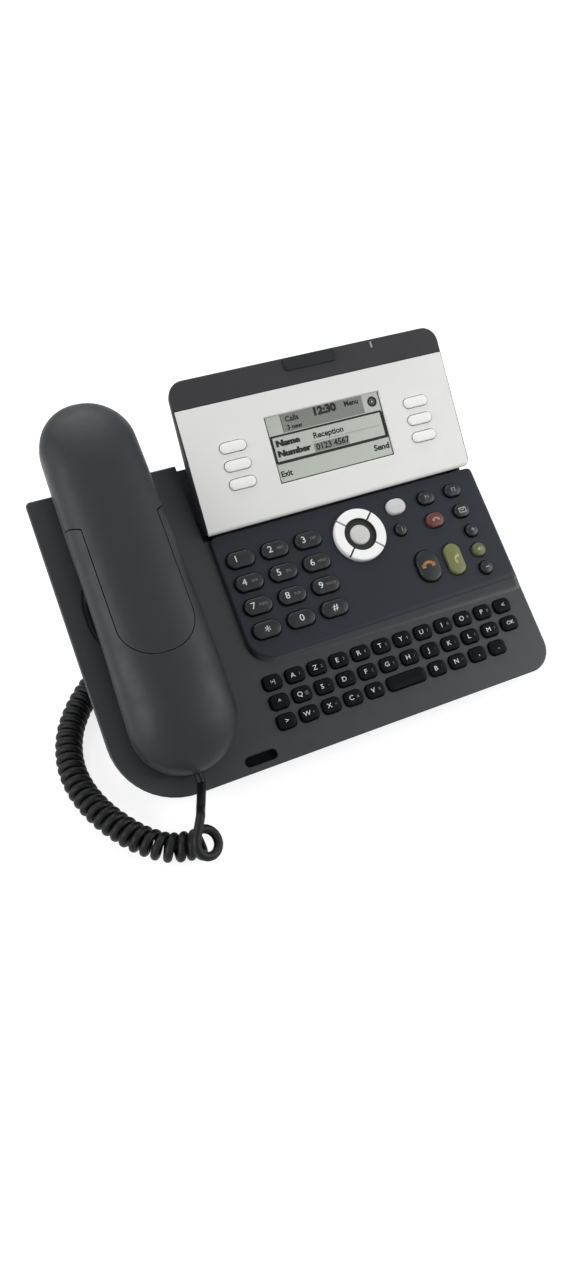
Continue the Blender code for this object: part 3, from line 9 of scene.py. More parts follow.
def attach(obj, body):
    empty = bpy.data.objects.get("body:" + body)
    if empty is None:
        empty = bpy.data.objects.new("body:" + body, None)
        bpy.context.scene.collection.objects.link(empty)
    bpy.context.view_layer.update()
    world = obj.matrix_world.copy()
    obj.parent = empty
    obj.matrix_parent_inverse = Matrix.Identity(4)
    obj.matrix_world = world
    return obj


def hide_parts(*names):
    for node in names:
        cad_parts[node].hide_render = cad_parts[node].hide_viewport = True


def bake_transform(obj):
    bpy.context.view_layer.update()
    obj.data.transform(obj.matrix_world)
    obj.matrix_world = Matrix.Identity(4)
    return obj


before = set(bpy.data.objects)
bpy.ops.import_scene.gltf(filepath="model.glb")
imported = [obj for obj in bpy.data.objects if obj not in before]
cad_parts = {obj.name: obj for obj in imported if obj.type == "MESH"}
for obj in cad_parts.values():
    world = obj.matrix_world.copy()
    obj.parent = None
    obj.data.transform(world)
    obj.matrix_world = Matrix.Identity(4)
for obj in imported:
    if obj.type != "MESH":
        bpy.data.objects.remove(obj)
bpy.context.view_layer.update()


# Base bottom cover
# The tray under the phone, moulded in slate ABS with a fine spark texture. It closes against the top cover
# on the parting line, is held by four screws from below and carries the two lugs of the foot.
BASE_TILT = math.radians(35)
KEY_5 = Vector((-0.00815, -0.004387, 0.067036))  # zero of the base's frame, in metres
MILLIMETRE = Matrix.Scale(0.001, 4)
BASE = Matrix.Translation(KEY_5) @ Matrix.Rotation(BASE_TILT, 4, "X") @ MILLIMETRE
# In millimetres: u runs to the right, v up the slope of the deck and w out of it
BASE_LEFT, BASE_RIGHT, BASE_FRONT, BASE_REAR = -118, 134.3, -95, 75.3
BASE_LENGTH = BASE_REAR - BASE_FRONT
BASE_RADII = (36, 14, 2.8, 2.8)  # front left, front right, rear right, rear left
FRONT_THICKNESS, REAR_THICKNESS = 12.35, 32.27
FRONT_PARTING, REAR_PARTING = 7.4, 16.6
PANEL_STEP = 3  # of the dial panel over the deck
DECK = -PANEL_STEP
SIDE_DRAFT = 0.15  # lean of the walls, for each depth below the deck
BOTTOM_ROUND = 2
WALL = 2.5
GAP = 0.3
FAR = 128  # past the covers in any direction
FOOT_LEFT, FOOT_RIGHT = -36, 90
FOOT_AXIS_V, FOOT_AXIS_DROP = 58, 4.8  # hinge axis of the foot, and its drop below the underside
FOOT_BARREL, FOOT_LUG_WIDTH, FOOT_PIN_RADIUS = 4, 4, 2
JACK_U, JACK_V, JACK_HALF_U, JACK_HALF_V = -44, 10, 5.7, 5.2
NETWORK_U, NETWORK_WIDTH, NETWORK_LENGTH = 60, 16, 15
SCREW_PLACES = ((-92, -50), (112, -72), (-104, 60), (118, 62))
SCREW_WELL_RADIUS, SCREW_WELL_DEPTH = 3.6, 1.6
VENT_COUNT, VENT_PITCH, VENT_LENGTH, VENT_WIDTH, VENT_DEPTH = 9, 6, 26, 2, 1
VENT_U, VENT_V = 27, 34
SLATE = (0.024, 0.027, 0.030)


def bottom_w(v):
    """Underside of the base at v: it falls away from the deck towards the rear."""
    return -(FRONT_THICKNESS + (REAR_THICKNESS - FRONT_THICKNESS) * (v - BASE_FRONT) / BASE_LENGTH)


def parting_w(v):
    """Line between the two covers at v."""
    return -(FRONT_PARTING + (REAR_PARTING - FRONT_PARTING) * (v - BASE_FRONT) / BASE_LENGTH)


def arc(centre, radius, start, sweep, steps):
    """Points along a circle; start and sweep are in degrees."""
    angles = [math.radians(start + sweep * step / steps) for step in range(steps + 1)]
    return [(centre[0] + radius * math.cos(a), centre[1] + radius * math.sin(a)) for a in angles]


def circle(centre, radius, steps):
    return arc(centre, radius, 0, 360, steps)[:-1]


def box(left, right, low, high):
    return [(left, low), (right, low), (right, high), (left, high)]


def rounded(left, right, low, high, radii, inset=0.0, steps=12):
    """Rounded rectangle, anticlockwise from its low left corner; inset draws it in all round."""
    points = []
    sides = ((1, 1), (-1, 1), (-1, -1), (1, -1))
    for quarter, (corner, (side, end)) in enumerate(zip(box(left, right, low, high), sides)):
        radius = radii[quarter]
        centre = (corner[0] + side * radius, corner[1] + end * radius)
        points += arc(centre, radius - inset, 180 + 90 * quarter, 90, steps)
    return points


def stadium(length, width, centre=(0, 0), grow=0.0, steps=14):
    """Outline with two round ends along its longer side, grown all round."""
    radius = min(length, width) / 2
    reach_a, reach_b = length / 2 - radius, width / 2 - radius
    start = -90 if length >= width else 0
    points = arc((centre[0] + reach_a, centre[1] + reach_b), radius + grow, start, 180, steps)
    points += arc((centre[0] - reach_a, centre[1] - reach_b), radius + grow, start + 180, 180, steps)
    return points[:-1] if length != width else points[1:steps + 1] + points[steps + 2:]


def loft(rings, bm=None):
    """Closed body through rings of equal point counts."""
    bm = bm or bmesh.new()
    loops = [[bm.verts.new(point) for point in ring] for ring in rings]
    for low, high in zip(loops, loops[1:]):
        for index in range(len(low)):
            after = (index + 1) % len(low)
            bm.faces.new((low[index], low[after], high[after], high[index]))
    bm.faces.new(list(reversed(loops[0])))
    bm.faces.new(loops[-1])
    return bm


def stacked(outline_at, levels, bm=None):
    """Body through the outlines at levels, which are pairs of growth and height."""
    return loft([[(a, b, w) for a, b in outline_at(grow)] for grow, w in levels], bm)


def prism(outline, low, high, bm=None):
    """Upright body on an outline in the first two axes."""
    return stacked(lambda grow: outline, ((0, low), (0, high)), bm)


def swept(outline, low, high, bm=None):
    """Body along the first axis on an outline in the other two."""
    return loft([[(end, a, b) for a, b in outline] for end in (low, high)], bm)


def countersunk(outline_at, low, surface, chamfer, bm):
    """Cutter whose hole opens out a little at the surface."""
    levels = ((0, low), (0, surface - chamfer), (2 * chamfer, surface + chamfer), (2 * chamfer, FAR))
    return stacked(outline_at, levels, bm)


def loose_object(bm):
    """Plain object of a bmesh, for a cut."""
    bmesh.ops.recalc_face_normals(bm, faces=bm.faces)
    mesh = bpy.data.meshes.new("tool")
    bm.to_mesh(mesh)
    bm.free()
    made = bpy.data.objects.new("tool", mesh)
    bpy.context.scene.collection.objects.link(made)
    return made


def shaped(body, *steps):
    """Mesh of a body after each step, a pair of operation and tool, has been carried out on it."""
    holder = loose_object(body)
    used = [holder]
    for operation, tool in steps:
        cut = holder.modifiers.new("cut", "BOOLEAN")
        cut.operation = operation
        cut.object = loose_object(tool)
        cut.solver = "EXACT"
        used.append(cut.object)
    graph = bpy.context.evaluated_depsgraph_get()
    mesh = bpy.data.meshes.new_from_object(holder.evaluated_get(graph))
    for tool in used:
        bpy.data.objects.remove(tool, do_unlink=True)
    return mesh


def fitted(name, mesh, place, *materials, smooth_angle=32):
    """Piece from a mesh that is drawn in the frame of place, with smooth faces and crisp edges."""
    if isinstance(mesh, bmesh.types.BMesh):
        bmesh.ops.recalc_face_normals(mesh, faces=mesh.faces)
        body = mesh
        mesh = bpy.data.meshes.new(name)
        body.to_mesh(mesh)
        body.free()
    mesh.transform(place)
    mesh.name = name
    for material in materials:
        mesh.materials.append(material)
    mesh.shade_smooth()
    mesh.set_sharp_from_angle(angle=math.radians(smooth_angle))
    piece = bpy.data.objects.new(name, mesh)
    bpy.context.scene.collection.objects.link(piece)
    even = piece.modifiers.new("even_shading", "WEIGHTED_NORMAL")
    even.keep_sharp = True
    return piece


def shader_group(name, inputs, outputs):
    """Empty node group, what comes into it and the node that ends it; sockets are named with their kinds."""
    group = bpy.data.node_groups.new(name, "ShaderNodeTree")
    for way, sockets in (("INPUT", inputs), ("OUTPUT", outputs)):
        for socket, kind in sockets.items():
            group.interface.new_socket(socket, in_out=way, socket_type="NodeSocket" + kind)
    return group, group.nodes.new("NodeGroupInput").outputs, group.nodes.new("NodeGroupOutput")


def fill(tree, node, inputs):
    """Feeds a node's inputs, each by a socket or with a constant, and gives back its outputs."""
    for socket, value in inputs.items():
        if isinstance(value, bpy.types.NodeSocket):
            tree.links.new(value, node.inputs[socket])
        else:
            node.inputs[socket].default_value = value
    return node.outputs


def add_node(tree, kind, inputs=None, **settings):
    """Outputs of a new shader node with these settings and inputs."""
    node = tree.nodes.new("ShaderNode" + kind)
    for name, value in settings.items():
        setattr(node, name, value)
    return fill(tree, node, inputs or {})


def sums(tree):
    """Addition, subtraction and multiplication in a node tree; an operand is a socket or a number."""
    def sum_of(operation):
        return lambda first, second, clamp=False: add_node(
            tree, "Math", {0: first, 1: second}, operation=operation, use_clamp=clamp)[0]
    return sum_of("ADD"), sum_of("SUBTRACT"), sum_of("MULTIPLY")


def noise_node(tree, coordinate, scale, detail=2.0):
    return add_node(tree, "TexNoise", {"Vector": coordinate, "Scale": scale, "Detail": detail})["Fac"]


# Spark texture of the mould: fine grain, and broad clouds in colour and polish
CLOUD_SCALE, POLISH_SCALE = 28.0, 120.0
CLOUD_SHARE, FINE_SHARE, POLISH_SWING = 1.4, 0.6, 0.22
grain_group, grain_in, grain_end = shader_group(
    "moulded_grain",
    {"Colour": "Color", "Clouding": "Float", "Roughness": "Float", "Grain Scale": "Float"},
    {"Colour": "Color", "Roughness": "Float", "Height": "Float"})
grain_place = add_node(grain_group, "TexCoord")["Object"]
grain_fine = noise_node(grain_group, grain_place, grain_in["Grain Scale"], 3.0)
grain_cloud = noise_node(grain_group, grain_place, CLOUD_SCALE, 3.0)
grain_polish = noise_node(grain_group, grain_place, POLISH_SCALE)
add, subtract, times = sums(grain_group)
grain_both = add(times(grain_cloud, CLOUD_SHARE), times(grain_fine, FINE_SHARE))
grain_swing = times(subtract(grain_both, 1.0), grain_in["Clouding"])
grain_turn = times(subtract(grain_polish, 0.5), POLISH_SWING)
grain_shade = add_node(grain_group, "HueSaturation", {
    "Color": grain_in["Colour"], "Value": add(1.0, grain_swing)})
fill(grain_group, grain_end, {
    "Colour": grain_shade["Color"], "Height": grain_fine,
    "Roughness": add(grain_in["Roughness"], grain_turn)})

# Rubbed edges: where the bevelled normal leaves the face's own, the colour turns paler
WEAR_REACH = 0.0007  # from the edge, in metres
EDGE_GAIN, PATCH_SCALE, PATCH_FROM, PATCH_GAIN = 9.0, 160.0, 0.38, 3.0
WORN_GAIN, WORN_LIFT = 1.6, 0.03  # of the colour, where it is rubbed
wear_group, wear_in, wear_end = shader_group(
    "rubbed_edges", {"Colour": "Color", "Worn Colour": "Color", "Amount": "Float"}, {"Colour": "Color"})
wear_bevel = add_node(wear_group, "Bevel", {"Radius": WEAR_REACH}, samples=4)
wear_face = add_node(wear_group, "NewGeometry")
wear_turn = add_node(
    wear_group, "VectorMath", {0: wear_bevel["Normal"], 1: wear_face["Normal"]}, operation="DOT_PRODUCT")
wear_noise = noise_node(wear_group, add_node(wear_group, "TexCoord")["Object"], PATCH_SCALE, 4.0)
add, subtract, times = sums(wear_group)
wear_edge = times(subtract(1.0, wear_turn["Value"]), EDGE_GAIN, True)
wear_patch = times(subtract(wear_noise, PATCH_FROM), PATCH_GAIN, True)
wear_mask = times(times(wear_edge, wear_patch), wear_in["Amount"], True)
wear_mix = add_node(wear_group, "Mix", {
    "Factor": wear_mask, "A": wear_in["Colour"], "B": wear_in["Worn Colour"]}, data_type="RGBA")
fill(wear_group, wear_end, {"Colour": wear_mix["Result"]})


def moulded(name, colour, roughness, clouding=0.10, grain=1400, depth=0.00003, wear=0.35, metallic=0.0,
            gloss=0.4):
    """Moulded or painted plastic with its grain, clouds and rubbed edges."""
    material = bpy.data.materials.new(name)
    material.use_nodes = True
    tree = material.node_tree
    surface = add_node(tree, "Group", {
        "Colour": (*colour, 1), "Clouding": clouding, "Roughness": roughness, "Grain Scale": grain,
    }, node_tree=grain_group)
    edges = add_node(tree, "Group", {
        "Colour": surface["Colour"], "Amount": wear,
        "Worn Colour": (*(min(WORN_GAIN * c + WORN_LIFT, 1) for c in colour), 1),
    }, node_tree=wear_group)
    relief = add_node(tree, "Bump", {"Strength": 0.5, "Distance": depth, "Height": surface["Height"]})
    fill(tree, tree.nodes["Principled BSDF"], {
        "Base Color": edges["Colour"], "Roughness": surface["Roughness"], "Normal": relief["Normal"],
        "Metallic": metallic, "Specular IOR Level": gloss})
    return material


def drafted(u, v, w):
    """Point of the base's walls at level w; below the deck they lean inwards, except at the rear."""
    pull = SIDE_DRAFT * max(DECK - w, 0)
    middle, half = (BASE_LEFT + BASE_RIGHT) / 2, (BASE_RIGHT - BASE_LEFT) / 2
    return u - pull * (u - middle) / half, v + pull * (BASE_REAR - v) / BASE_LENGTH, w


def base_ring(inset, height):
    """Base outline at an inset; height is a level or a function of v."""
    outline = rounded(BASE_LEFT, BASE_RIGHT, BASE_FRONT, BASE_REAR, BASE_RADII, inset)
    return [drafted(u, v, height(v) if callable(height) else height) for u, v in outline]


tray_levels = []
for share in (0, 0.3, 0.6, 1):
    inset = BOTTOM_ROUND * (1 - math.sin(share * math.pi / 2))
    lift = BOTTOM_ROUND * (1 - math.cos(share * math.pi / 2))
    tray_levels.append(base_ring(inset, lambda v, lift=lift: bottom_w(v) + lift))
tray_levels.append(base_ring(0, lambda v: parting_w(v) - GAP))
tray_cavity = loft([base_ring(WALL, lambda v: bottom_w(v) + WALL), base_ring(WALL, DECK)])
foot_axis = (FOOT_AXIS_V, bottom_w(FOOT_AXIS_V) - FOOT_AXIS_DROP)
foot_lugs, foot_bores = bmesh.new(), bmesh.new()
lug_top = bottom_w(FOOT_AXIS_V + FOOT_BARREL) + WALL / 2
lug_outline = [(FOOT_AXIS_V + FOOT_BARREL, lug_top), (FOOT_AXIS_V - FOOT_BARREL, lug_top)]
lug_outline += arc(foot_axis, FOOT_BARREL, 180, 180, 16)
foot_bore = circle(foot_axis, FOOT_PIN_RADIUS + GAP, 24)
for lug_left in (FOOT_LEFT - GAP - FOOT_LUG_WIDTH, FOOT_RIGHT + GAP):
    swept(lug_outline, lug_left, lug_left + FOOT_LUG_WIDTH, foot_lugs)
    swept(foot_bore, lug_left - GAP / 2, lug_left + FOOT_LUG_WIDTH + GAP / 2, foot_bores)
tray_cuts = bmesh.new()
jack_opening = box(JACK_U - JACK_HALF_U - GAP, JACK_U + JACK_HALF_U + GAP,
                   JACK_V - JACK_HALF_V - GAP, JACK_V + JACK_HALF_V + GAP)
prism(jack_opening, -FAR, bottom_w(JACK_V) + 2 * WALL, tray_cuts)
network_opening = box(NETWORK_U - NETWORK_WIDTH / 2 - GAP, NETWORK_U + NETWORK_WIDTH / 2 + GAP,
                      BASE_REAR - 2 * WALL, BASE_REAR + FAR)
prism(network_opening, bottom_w(BASE_REAR - NETWORK_LENGTH) + WALL, FAR, tray_cuts)
sunk_outlines = [(circle(place, SCREW_WELL_RADIUS, 28), SCREW_WELL_DEPTH) for place in SCREW_PLACES]
for index in range(VENT_COUNT):
    vent_centre = (VENT_U + (index - (VENT_COUNT - 1) / 2) * VENT_PITCH, VENT_V)
    sunk_outlines.append((stadium(VENT_WIDTH, VENT_LENGTH, vent_centre, steps=6), VENT_DEPTH))
for outline, depth in sunk_outlines:
    loft([[(a, b, bottom_w(b) + depth) for a, b in outline], [(a, b, -FAR) for a, b in outline]], tray_cuts)
slate_bottom = moulded("slate_bottom", SLATE, 0.58, grain=900, depth=0.00005)
bottom_cover = fitted("bottom_tray", shaped(
    loft(tray_levels), ("DIFFERENCE", tray_cavity), ("UNION", foot_lugs), ("DIFFERENCE", foot_bores),
    ("DIFFERENCE", tray_cuts)), BASE, slate_bottom)
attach(bottom_cover, "base")
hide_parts("base_bottom_cover")


# Screws of the bottom cover
# Four cross-head thread-forming screws of zinc-plated steel, driven from below and sunk in the wells
# of the tray.
SCREW_HEAD_RADIUS, SCREW_HEAD_ROOT, SCREW_HEAD_RIM, SCREW_HEAD_DOME = 2.9, 0.2, 0.6, 0.7
CROSS_LENGTH, CROSS_WIDTH, CROSS_FLOOR = 3.4, 0.8, 0.5
zinc = moulded("zinc_plate", (0.52, 0.52, 0.50), 0.34, grain=2600, depth=0.00002, metallic=1.0)
slope = math.atan((REAR_THICKNESS - FRONT_THICKNESS) / BASE_LENGTH)
head_levels = [(SCREW_HEAD_RADIUS, SCREW_HEAD_ROOT)]
for turn in (0, 0.4, 0.8, 1.15, 1.45):
    drop = SCREW_HEAD_RIM + SCREW_HEAD_DOME * math.sin(turn)
    head_levels.append((SCREW_HEAD_RADIUS * math.cos(turn), -drop))
for number, (u, v) in enumerate(SCREW_PLACES, 1):
    head = stacked(lambda radius: circle((0, 0), radius, 28), head_levels)
    crosses = []
    for half_u, half_v in ((CROSS_LENGTH / 2, CROSS_WIDTH / 2), (CROSS_WIDTH / 2, CROSS_LENGTH / 2)):
        crosses.append(("DIFFERENCE", prism(box(-half_u, half_u, -half_v, half_v), -FAR, -CROSS_FLOOR)))
    seat = Matrix.Translation((u, v, bottom_w(v) + SCREW_WELL_DEPTH)) @ Matrix.Rotation(-slope, 4, "X")
    screw = fitted(f"bottom_screw_{number}", shaped(head, *crosses), BASE @ seat, zinc)
    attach(screw, "base")


# Boards, speaker, microphone, jacks and hinge pin
# Bought-in parts, clipped or screwed into the base and the handset: they keep the shape of their solids and
# take their own finishes here.
def dressed(node, material, bevel=0.0):
    """CAD node that stays, with a finish and, if asked, softly broken edges (in mm)."""
    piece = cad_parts[node]
    piece.data.materials.clear()
    piece.data.materials.append(material)
    if bevel:
        edge = piece.modifiers.new("broken_edges", "BEVEL")
        edge.width = bevel * 0.001
        edge.segments = 2
        edge.limit_method = "ANGLE"
        edge.angle_limit = math.radians(40)
        edge.harden_normals = True
    return piece


black_parts = moulded("black_parts", (0.004, 0.004, 0.004), 0.8, grain=1800, gloss=0.05)
dressed("main_board", moulded("board_green", (0.015, 0.085, 0.035), 0.42, clouding=0.3, grain=500))
# The dome mat is dark rubber, darkened further to near black: partly painted shade where it shows in the gap
# round the OK key
dressed("dial_dome_mat", moulded("dome_rubber", (0.022, 0.023, 0.024), 0.6, grain=700, gloss=0.2), 0.3)
for part in ("hands_free_speaker", "base_microphone", "earpiece_speaker", "handset_microphone"):
    dressed(part, black_parts)
for part in ("handset_jack", "network_jack"):
    dressed(part, black_parts, 0.25)
dressed("hinge_pin", moulded("pin_steel", (0.50, 0.50, 0.51), 0.28, grain=3000, depth=0.00001, metallic=1.0))


# Base top cover
# The deck of the phone, one moulding in textured slate ABS: a low deck for the handset and the letter keys,
# the dial panel that stands over it with a soft front slope, and the well of the display.
DECK_UNDER = DECK - WALL
EDGE_ROUND = 1.2
PANEL_LEFT, PANEL_FRONT, PANEL_REAR = -33, -43, 29
PANEL_CORNER = 13
PANEL_SIDE_LEAN = 1.4
PANEL_SLOPES = (3.6, 11)  # run of the soft front slope at its left and right end
PANEL_DRAFT = 0.15
PANEL_ROUND = 1.3
PANEL_FOOT = 0.06  # the slope starts this far below the deck
PANEL_SHADE_LEVEL = -0.75  # faces above this level take a darker, bluer copy of the slate, as painted shade on the dial panel
WELL_LEFT, WELL_FLOOR = -35.2, -12
HANDSET_U = -80.5
RECESS = (54, 60, (HANDSET_U, 6.5))  # length, width and centre
RECESS_DEPTH, RECESS_LIP, RECESS_LIP_RISE = 5, 0.8, 0.5
MOUTH_SEAT_DEPTH, MOUTH_SEAT_V = 1.2, -61
MOUTH_SEAT = (44, 34, (HANDSET_U, MOUTH_SEAT_V))
MIC_SLOT = (18, 5.4, (-45.8, -88.8))
SOUND_SLOT_COUNT, SOUND_SLOT_PITCH, SOUND_SLOT_LENGTH, SOUND_SLOT_WIDTH, SPEAKER_V = 5, 5, 12, 1.8, -34
HOOK_RADIUS, HOOK_V = 3, 56
KEY_CLEARANCE = 0.4
SEAT_CHAMFER, HOLE_CHAMFER, SMALL_CHAMFER = 0.4, 0.3, 0.2
DIAL_PITCH_U, DIAL_PITCH_V, DIAL_KEY_U, DIAL_KEY_V = 20, 13.5, 16, 9
DIAL_MARKS = ("1", "2", "3", "4", "5", "6", "7", "8", "9", "star", "0", "hash")
FUNCTION_KEYS = {  # centre in u and v, length and width
    "menu_key": (77.2, 18.1, 11.7, 9.0),
    "info_key": (74.8, 4.4, 7.2, 7.2),
    "function_key_1": (97.2, 18.1, 10.5, 7.6),
    "function_key_2": (114.9, 18.2, 10.5, 7.6),
    "release_key": (96.9, 4.2, 11.0, 8.6),
    "message_key": (115.2, 5.1, 9.6, 8.0),
    "volume_up_key": (116.4, -7.7, 7.6, 7.6),
    "speaker_key": (115.7, -19.7, 8.0, 8.0),
    "volume_down_key": (115.7, -30.8, 7.6, 7.6),
    "call_key": (99.0, -20.8, 10.0, 18.5),
    "redial_key": (82.0, -20.2, 13.5, 18.5),
}
RING_CENTRE, RING_RADIUS = (50, 8.1), 15.2
LETTER_PITCH_U, LETTER_PITCH_V = 13.06, 10.71
LETTER_FIRST_U, LETTER_FIRST_V = -26.7, -54.1
LETTER_KEY_U, LETTER_KEY_V, LETTER_KEY_CORNER, LEAST_CORNER = 10, 7.4, 2.4, 0.2
LETTER_ROWS = (range(12), range(12), (0, 1, 2, 3, 4, 7, 8, 9, 10))
SPACE_BAR_SLOT = 5.5
DISPLAY_TILT = math.radians(16.6)
DISPLAY_FOOT_V, DISPLAY_FOOT_W = 29.55, 3.26
DISPLAY_LEFT, DISPLAY_RIGHT = -32.8, 130.6
SHELL_WALL = 2.2
HINGE_H, HINGE_N = 3.5, -6.2
HINGE_PIN_RADIUS, HINGE_LUG_RADIUS, HINGE_LUG_WIDTH, LUG_CLEARANCE = 1.5, 3.2, 4, 0.6


def soft_step(t):
    t = min(max(t, 0), 1)
    return t * t * (3 - 2 * t)


def panel_ring(share):
    """Outline of the dial panel at a share of its slope, from the deck up."""
    w = DECK + (0 - DECK) * soft_step(share)
    rounding = PANEL_ROUND - math.sqrt(PANEL_ROUND ** 2 - max(w + PANEL_ROUND, 0) ** 2)
    left = PANEL_LEFT + PANEL_DRAFT * (w - DECK) + rounding
    right = BASE_RIGHT - EDGE_ROUND / 2 - PANEL_SIDE_LEAN * (w - DECK) / PANEL_STEP - rounding
    ring = []
    for u, v in rounded(left, right, PANEL_FRONT, PANEL_REAR, (PANEL_CORNER, WALL, WALL, WALL), steps=16):
        across, towards = (u - left) / (right - left), (PANEL_REAR - v) / (PANEL_REAR - PANEL_FRONT)
        run = PANEL_SLOPES[0] + (PANEL_SLOPES[1] - PANEL_SLOPES[0]) * across
        ring.append((u, v + run * (share - 0.5) * towards, w))
    return ring


def quarter_round(radius, steps):
    """Insets and drops along a quarter circle, from the wall up to the face."""
    turns = [math.pi / 2 * step / steps for step in range(steps + 1)]
    return [(radius * (1 - math.cos(turn)), radius * (1 - math.sin(turn))) for turn in turns]


def dial_centre(index):
    return (index % 3 - 1) * DIAL_PITCH_U, (1 - index // 3) * DIAL_PITCH_V


def letter_places():
    """Centre and length of each letter key, row by row, with the space bar last."""
    keys = [(slot, row, LETTER_KEY_U) for row, slots in enumerate(LETTER_ROWS) for slot in slots]
    keys.append((SPACE_BAR_SLOT, len(LETTER_ROWS) - 1, LETTER_KEY_U + LETTER_PITCH_U))
    return [(LETTER_FIRST_U + slot * LETTER_PITCH_U, LETTER_FIRST_V - row * LETTER_PITCH_V, length)
            for slot, row, length in keys]


def letter_outline(place, grow):
    u, v, length = place
    half_u, half_v = length / 2 + grow, LETTER_KEY_V / 2 + grow
    corner = max(LETTER_KEY_CORNER + grow, LEAST_CORNER)
    return rounded(u - half_u, u + half_u, v - half_v, v + half_v, (corner,) * 4, steps=5)


deck_levels = [base_ring(0, parting_w)]
deck_levels += [base_ring(inset, DECK - drop) for inset, drop in quarter_round(EDGE_ROUND, 6)]
panel_roots = [[(u, v, DECK - sunk) for u, v, w in panel_ring(0)] for sunk in (WALL / 2, PANEL_FOOT)]
panel_block = loft(panel_roots + [panel_ring(step / 12) for step in range(1, 13)])
display_well = prism(box(WELL_LEFT, BASE_RIGHT + FAR, PANEL_REAR, BASE_REAR + FAR), WELL_FLOOR, FAR)
cavity_low = -REAR_PARTING - WALL
# The room under the deck follows the two front corners, of 13 points each, and goes round the well
deck_cavity = rounded(BASE_LEFT, BASE_RIGHT, BASE_FRONT, BASE_REAR, BASE_RADII, WALL)[:26]
deck_cavity += [
    (BASE_RIGHT - WALL, PANEL_REAR - WALL), (WELL_LEFT - WALL, PANEL_REAR - WALL),
    (WELL_LEFT - WALL, BASE_REAR - WALL), (BASE_LEFT + WALL, BASE_REAR - WALL),
]
deck_room = loft([[drafted(u, v, w) for u, v in deck_cavity] for w in (cavity_low, DECK_UNDER)])
panel_cavity = rounded(
    PANEL_LEFT, BASE_RIGHT - 2 * PANEL_SIDE_LEAN, PANEL_FRONT + PANEL_SLOPES[1] / 2, PANEL_REAR,
    (PANEL_CORNER, 2 * WALL, 2 * WALL, 2 * WALL), WALL)
well_room = loft([base_ring(WALL, cavity_low), base_ring(WALL, WELL_FLOOR - WALL)])
bowl = prism(stadium(*RECESS, WALL), DECK - RECESS_DEPTH - WALL, DECK - WALL / 2)
recess_levels = [(-drop, DECK - RECESS_DEPTH + inset) for inset, drop in quarter_round(RECESS_DEPTH, 6)]
recess_levels += [(RECESS_LIP, DECK + RECESS_LIP_RISE), (RECESS_LIP, FAR)]
recess = stacked(lambda grow: stadium(*RECESS, grow, 24), recess_levels)
deck_cuts = bmesh.new()
through = DECK_UNDER - WALL
countersunk(lambda grow: stadium(*MOUTH_SEAT, grow, 20),
            DECK - MOUTH_SEAT_DEPTH, DECK, SEAT_CHAMFER, deck_cuts)
countersunk(lambda grow: stadium(*MIC_SLOT, grow), through, DECK, SEAT_CHAMFER, deck_cuts)
for slot in range(SOUND_SLOT_COUNT):
    slot_centre = (HANDSET_U + (slot - (SOUND_SLOT_COUNT - 1) / 2) * SOUND_SLOT_PITCH, SPEAKER_V)
    countersunk(lambda grow: stadium(SOUND_SLOT_WIDTH, SOUND_SLOT_LENGTH, slot_centre, grow, 6),
                through, DECK, SMALL_CHAMFER, deck_cuts)
countersunk(lambda grow: stadium(2 * HOOK_RADIUS, 2 * HOOK_RADIUS, (HANDSET_U, HOOK_V), GAP + grow),
            through, DECK, HOLE_CHAMFER, deck_cuts)
panel_holes = [(DIAL_KEY_U, DIAL_KEY_V, dial_centre(index)) for index in range(len(DIAL_MARKS))]
panel_holes += [(length, width, (u, v)) for u, v, length, width in FUNCTION_KEYS.values()]
panel_holes.append((2 * RING_RADIUS, 2 * RING_RADIUS, RING_CENTRE))
for length, width, centre in panel_holes:
    steps = 28 if centre == RING_CENTRE else 12
    countersunk(lambda grow: stadium(length, width, centre, KEY_CLEARANCE + grow, steps),
                -1.5 * WALL, 0, HOLE_CHAMFER, deck_cuts)
for place in letter_places():
    countersunk(lambda grow: letter_outline(place, KEY_CLEARANCE + grow),
                DECK_UNDER - WALL / 2, DECK, HOLE_CHAMFER, deck_cuts)
hinge_v = DISPLAY_FOOT_V + HINGE_H * math.cos(DISPLAY_TILT) - HINGE_N * math.sin(DISPLAY_TILT)
hinge_w = DISPLAY_FOOT_W + HINGE_H * math.sin(DISPLAY_TILT) + HINGE_N * math.cos(DISPLAY_TILT)
lug_inset = SHELL_WALL + LUG_CLEARANCE
lug_lefts = (DISPLAY_LEFT + lug_inset, DISPLAY_RIGHT - lug_inset - HINGE_LUG_WIDTH)
hinge_lugs, hinge_bores = bmesh.new(), bmesh.new()
lug_foot = WELL_FLOOR - WALL / 2
lug_side = [(hinge_v - HINGE_LUG_RADIUS, lug_foot), (hinge_v + HINGE_LUG_RADIUS, lug_foot)]
lug_side += arc((hinge_v, hinge_w), HINGE_LUG_RADIUS, 0, 180, 16)
pin_bore = circle((hinge_v, hinge_w), HINGE_PIN_RADIUS + GAP, 20)
for lug_left in lug_lefts:
    swept(lug_side, lug_left, lug_left + HINGE_LUG_WIDTH, hinge_lugs)
    swept(pin_bore, lug_left - GAP, lug_left + HINGE_LUG_WIDTH + GAP, hinge_bores)
slate_cover = moulded("slate_cover", SLATE, 0.38, gloss=0.3)
# Painted shade: the dial panel is part of the same moulding as the deck; its faces take a darker, bluer copy
# of the deck's slate
slate_panel_shade = moulded("slate_panel_shade", (0.0085, 0.0112, 0.0168), 0.5, gloss=0.22)
top_cover = fitted("deck_cover", shaped(
    loft(deck_levels), ("UNION", panel_block), ("DIFFERENCE", display_well), ("DIFFERENCE", deck_room),
    ("DIFFERENCE", prism(panel_cavity, DECK_UNDER - WALL, -WALL)), ("DIFFERENCE", well_room),
    ("UNION", bowl), ("DIFFERENCE", recess), ("DIFFERENCE", deck_cuts),
    ("UNION", hinge_lugs), ("DIFFERENCE", hinge_bores)), Matrix.Identity(4), slate_cover, slate_panel_shade)
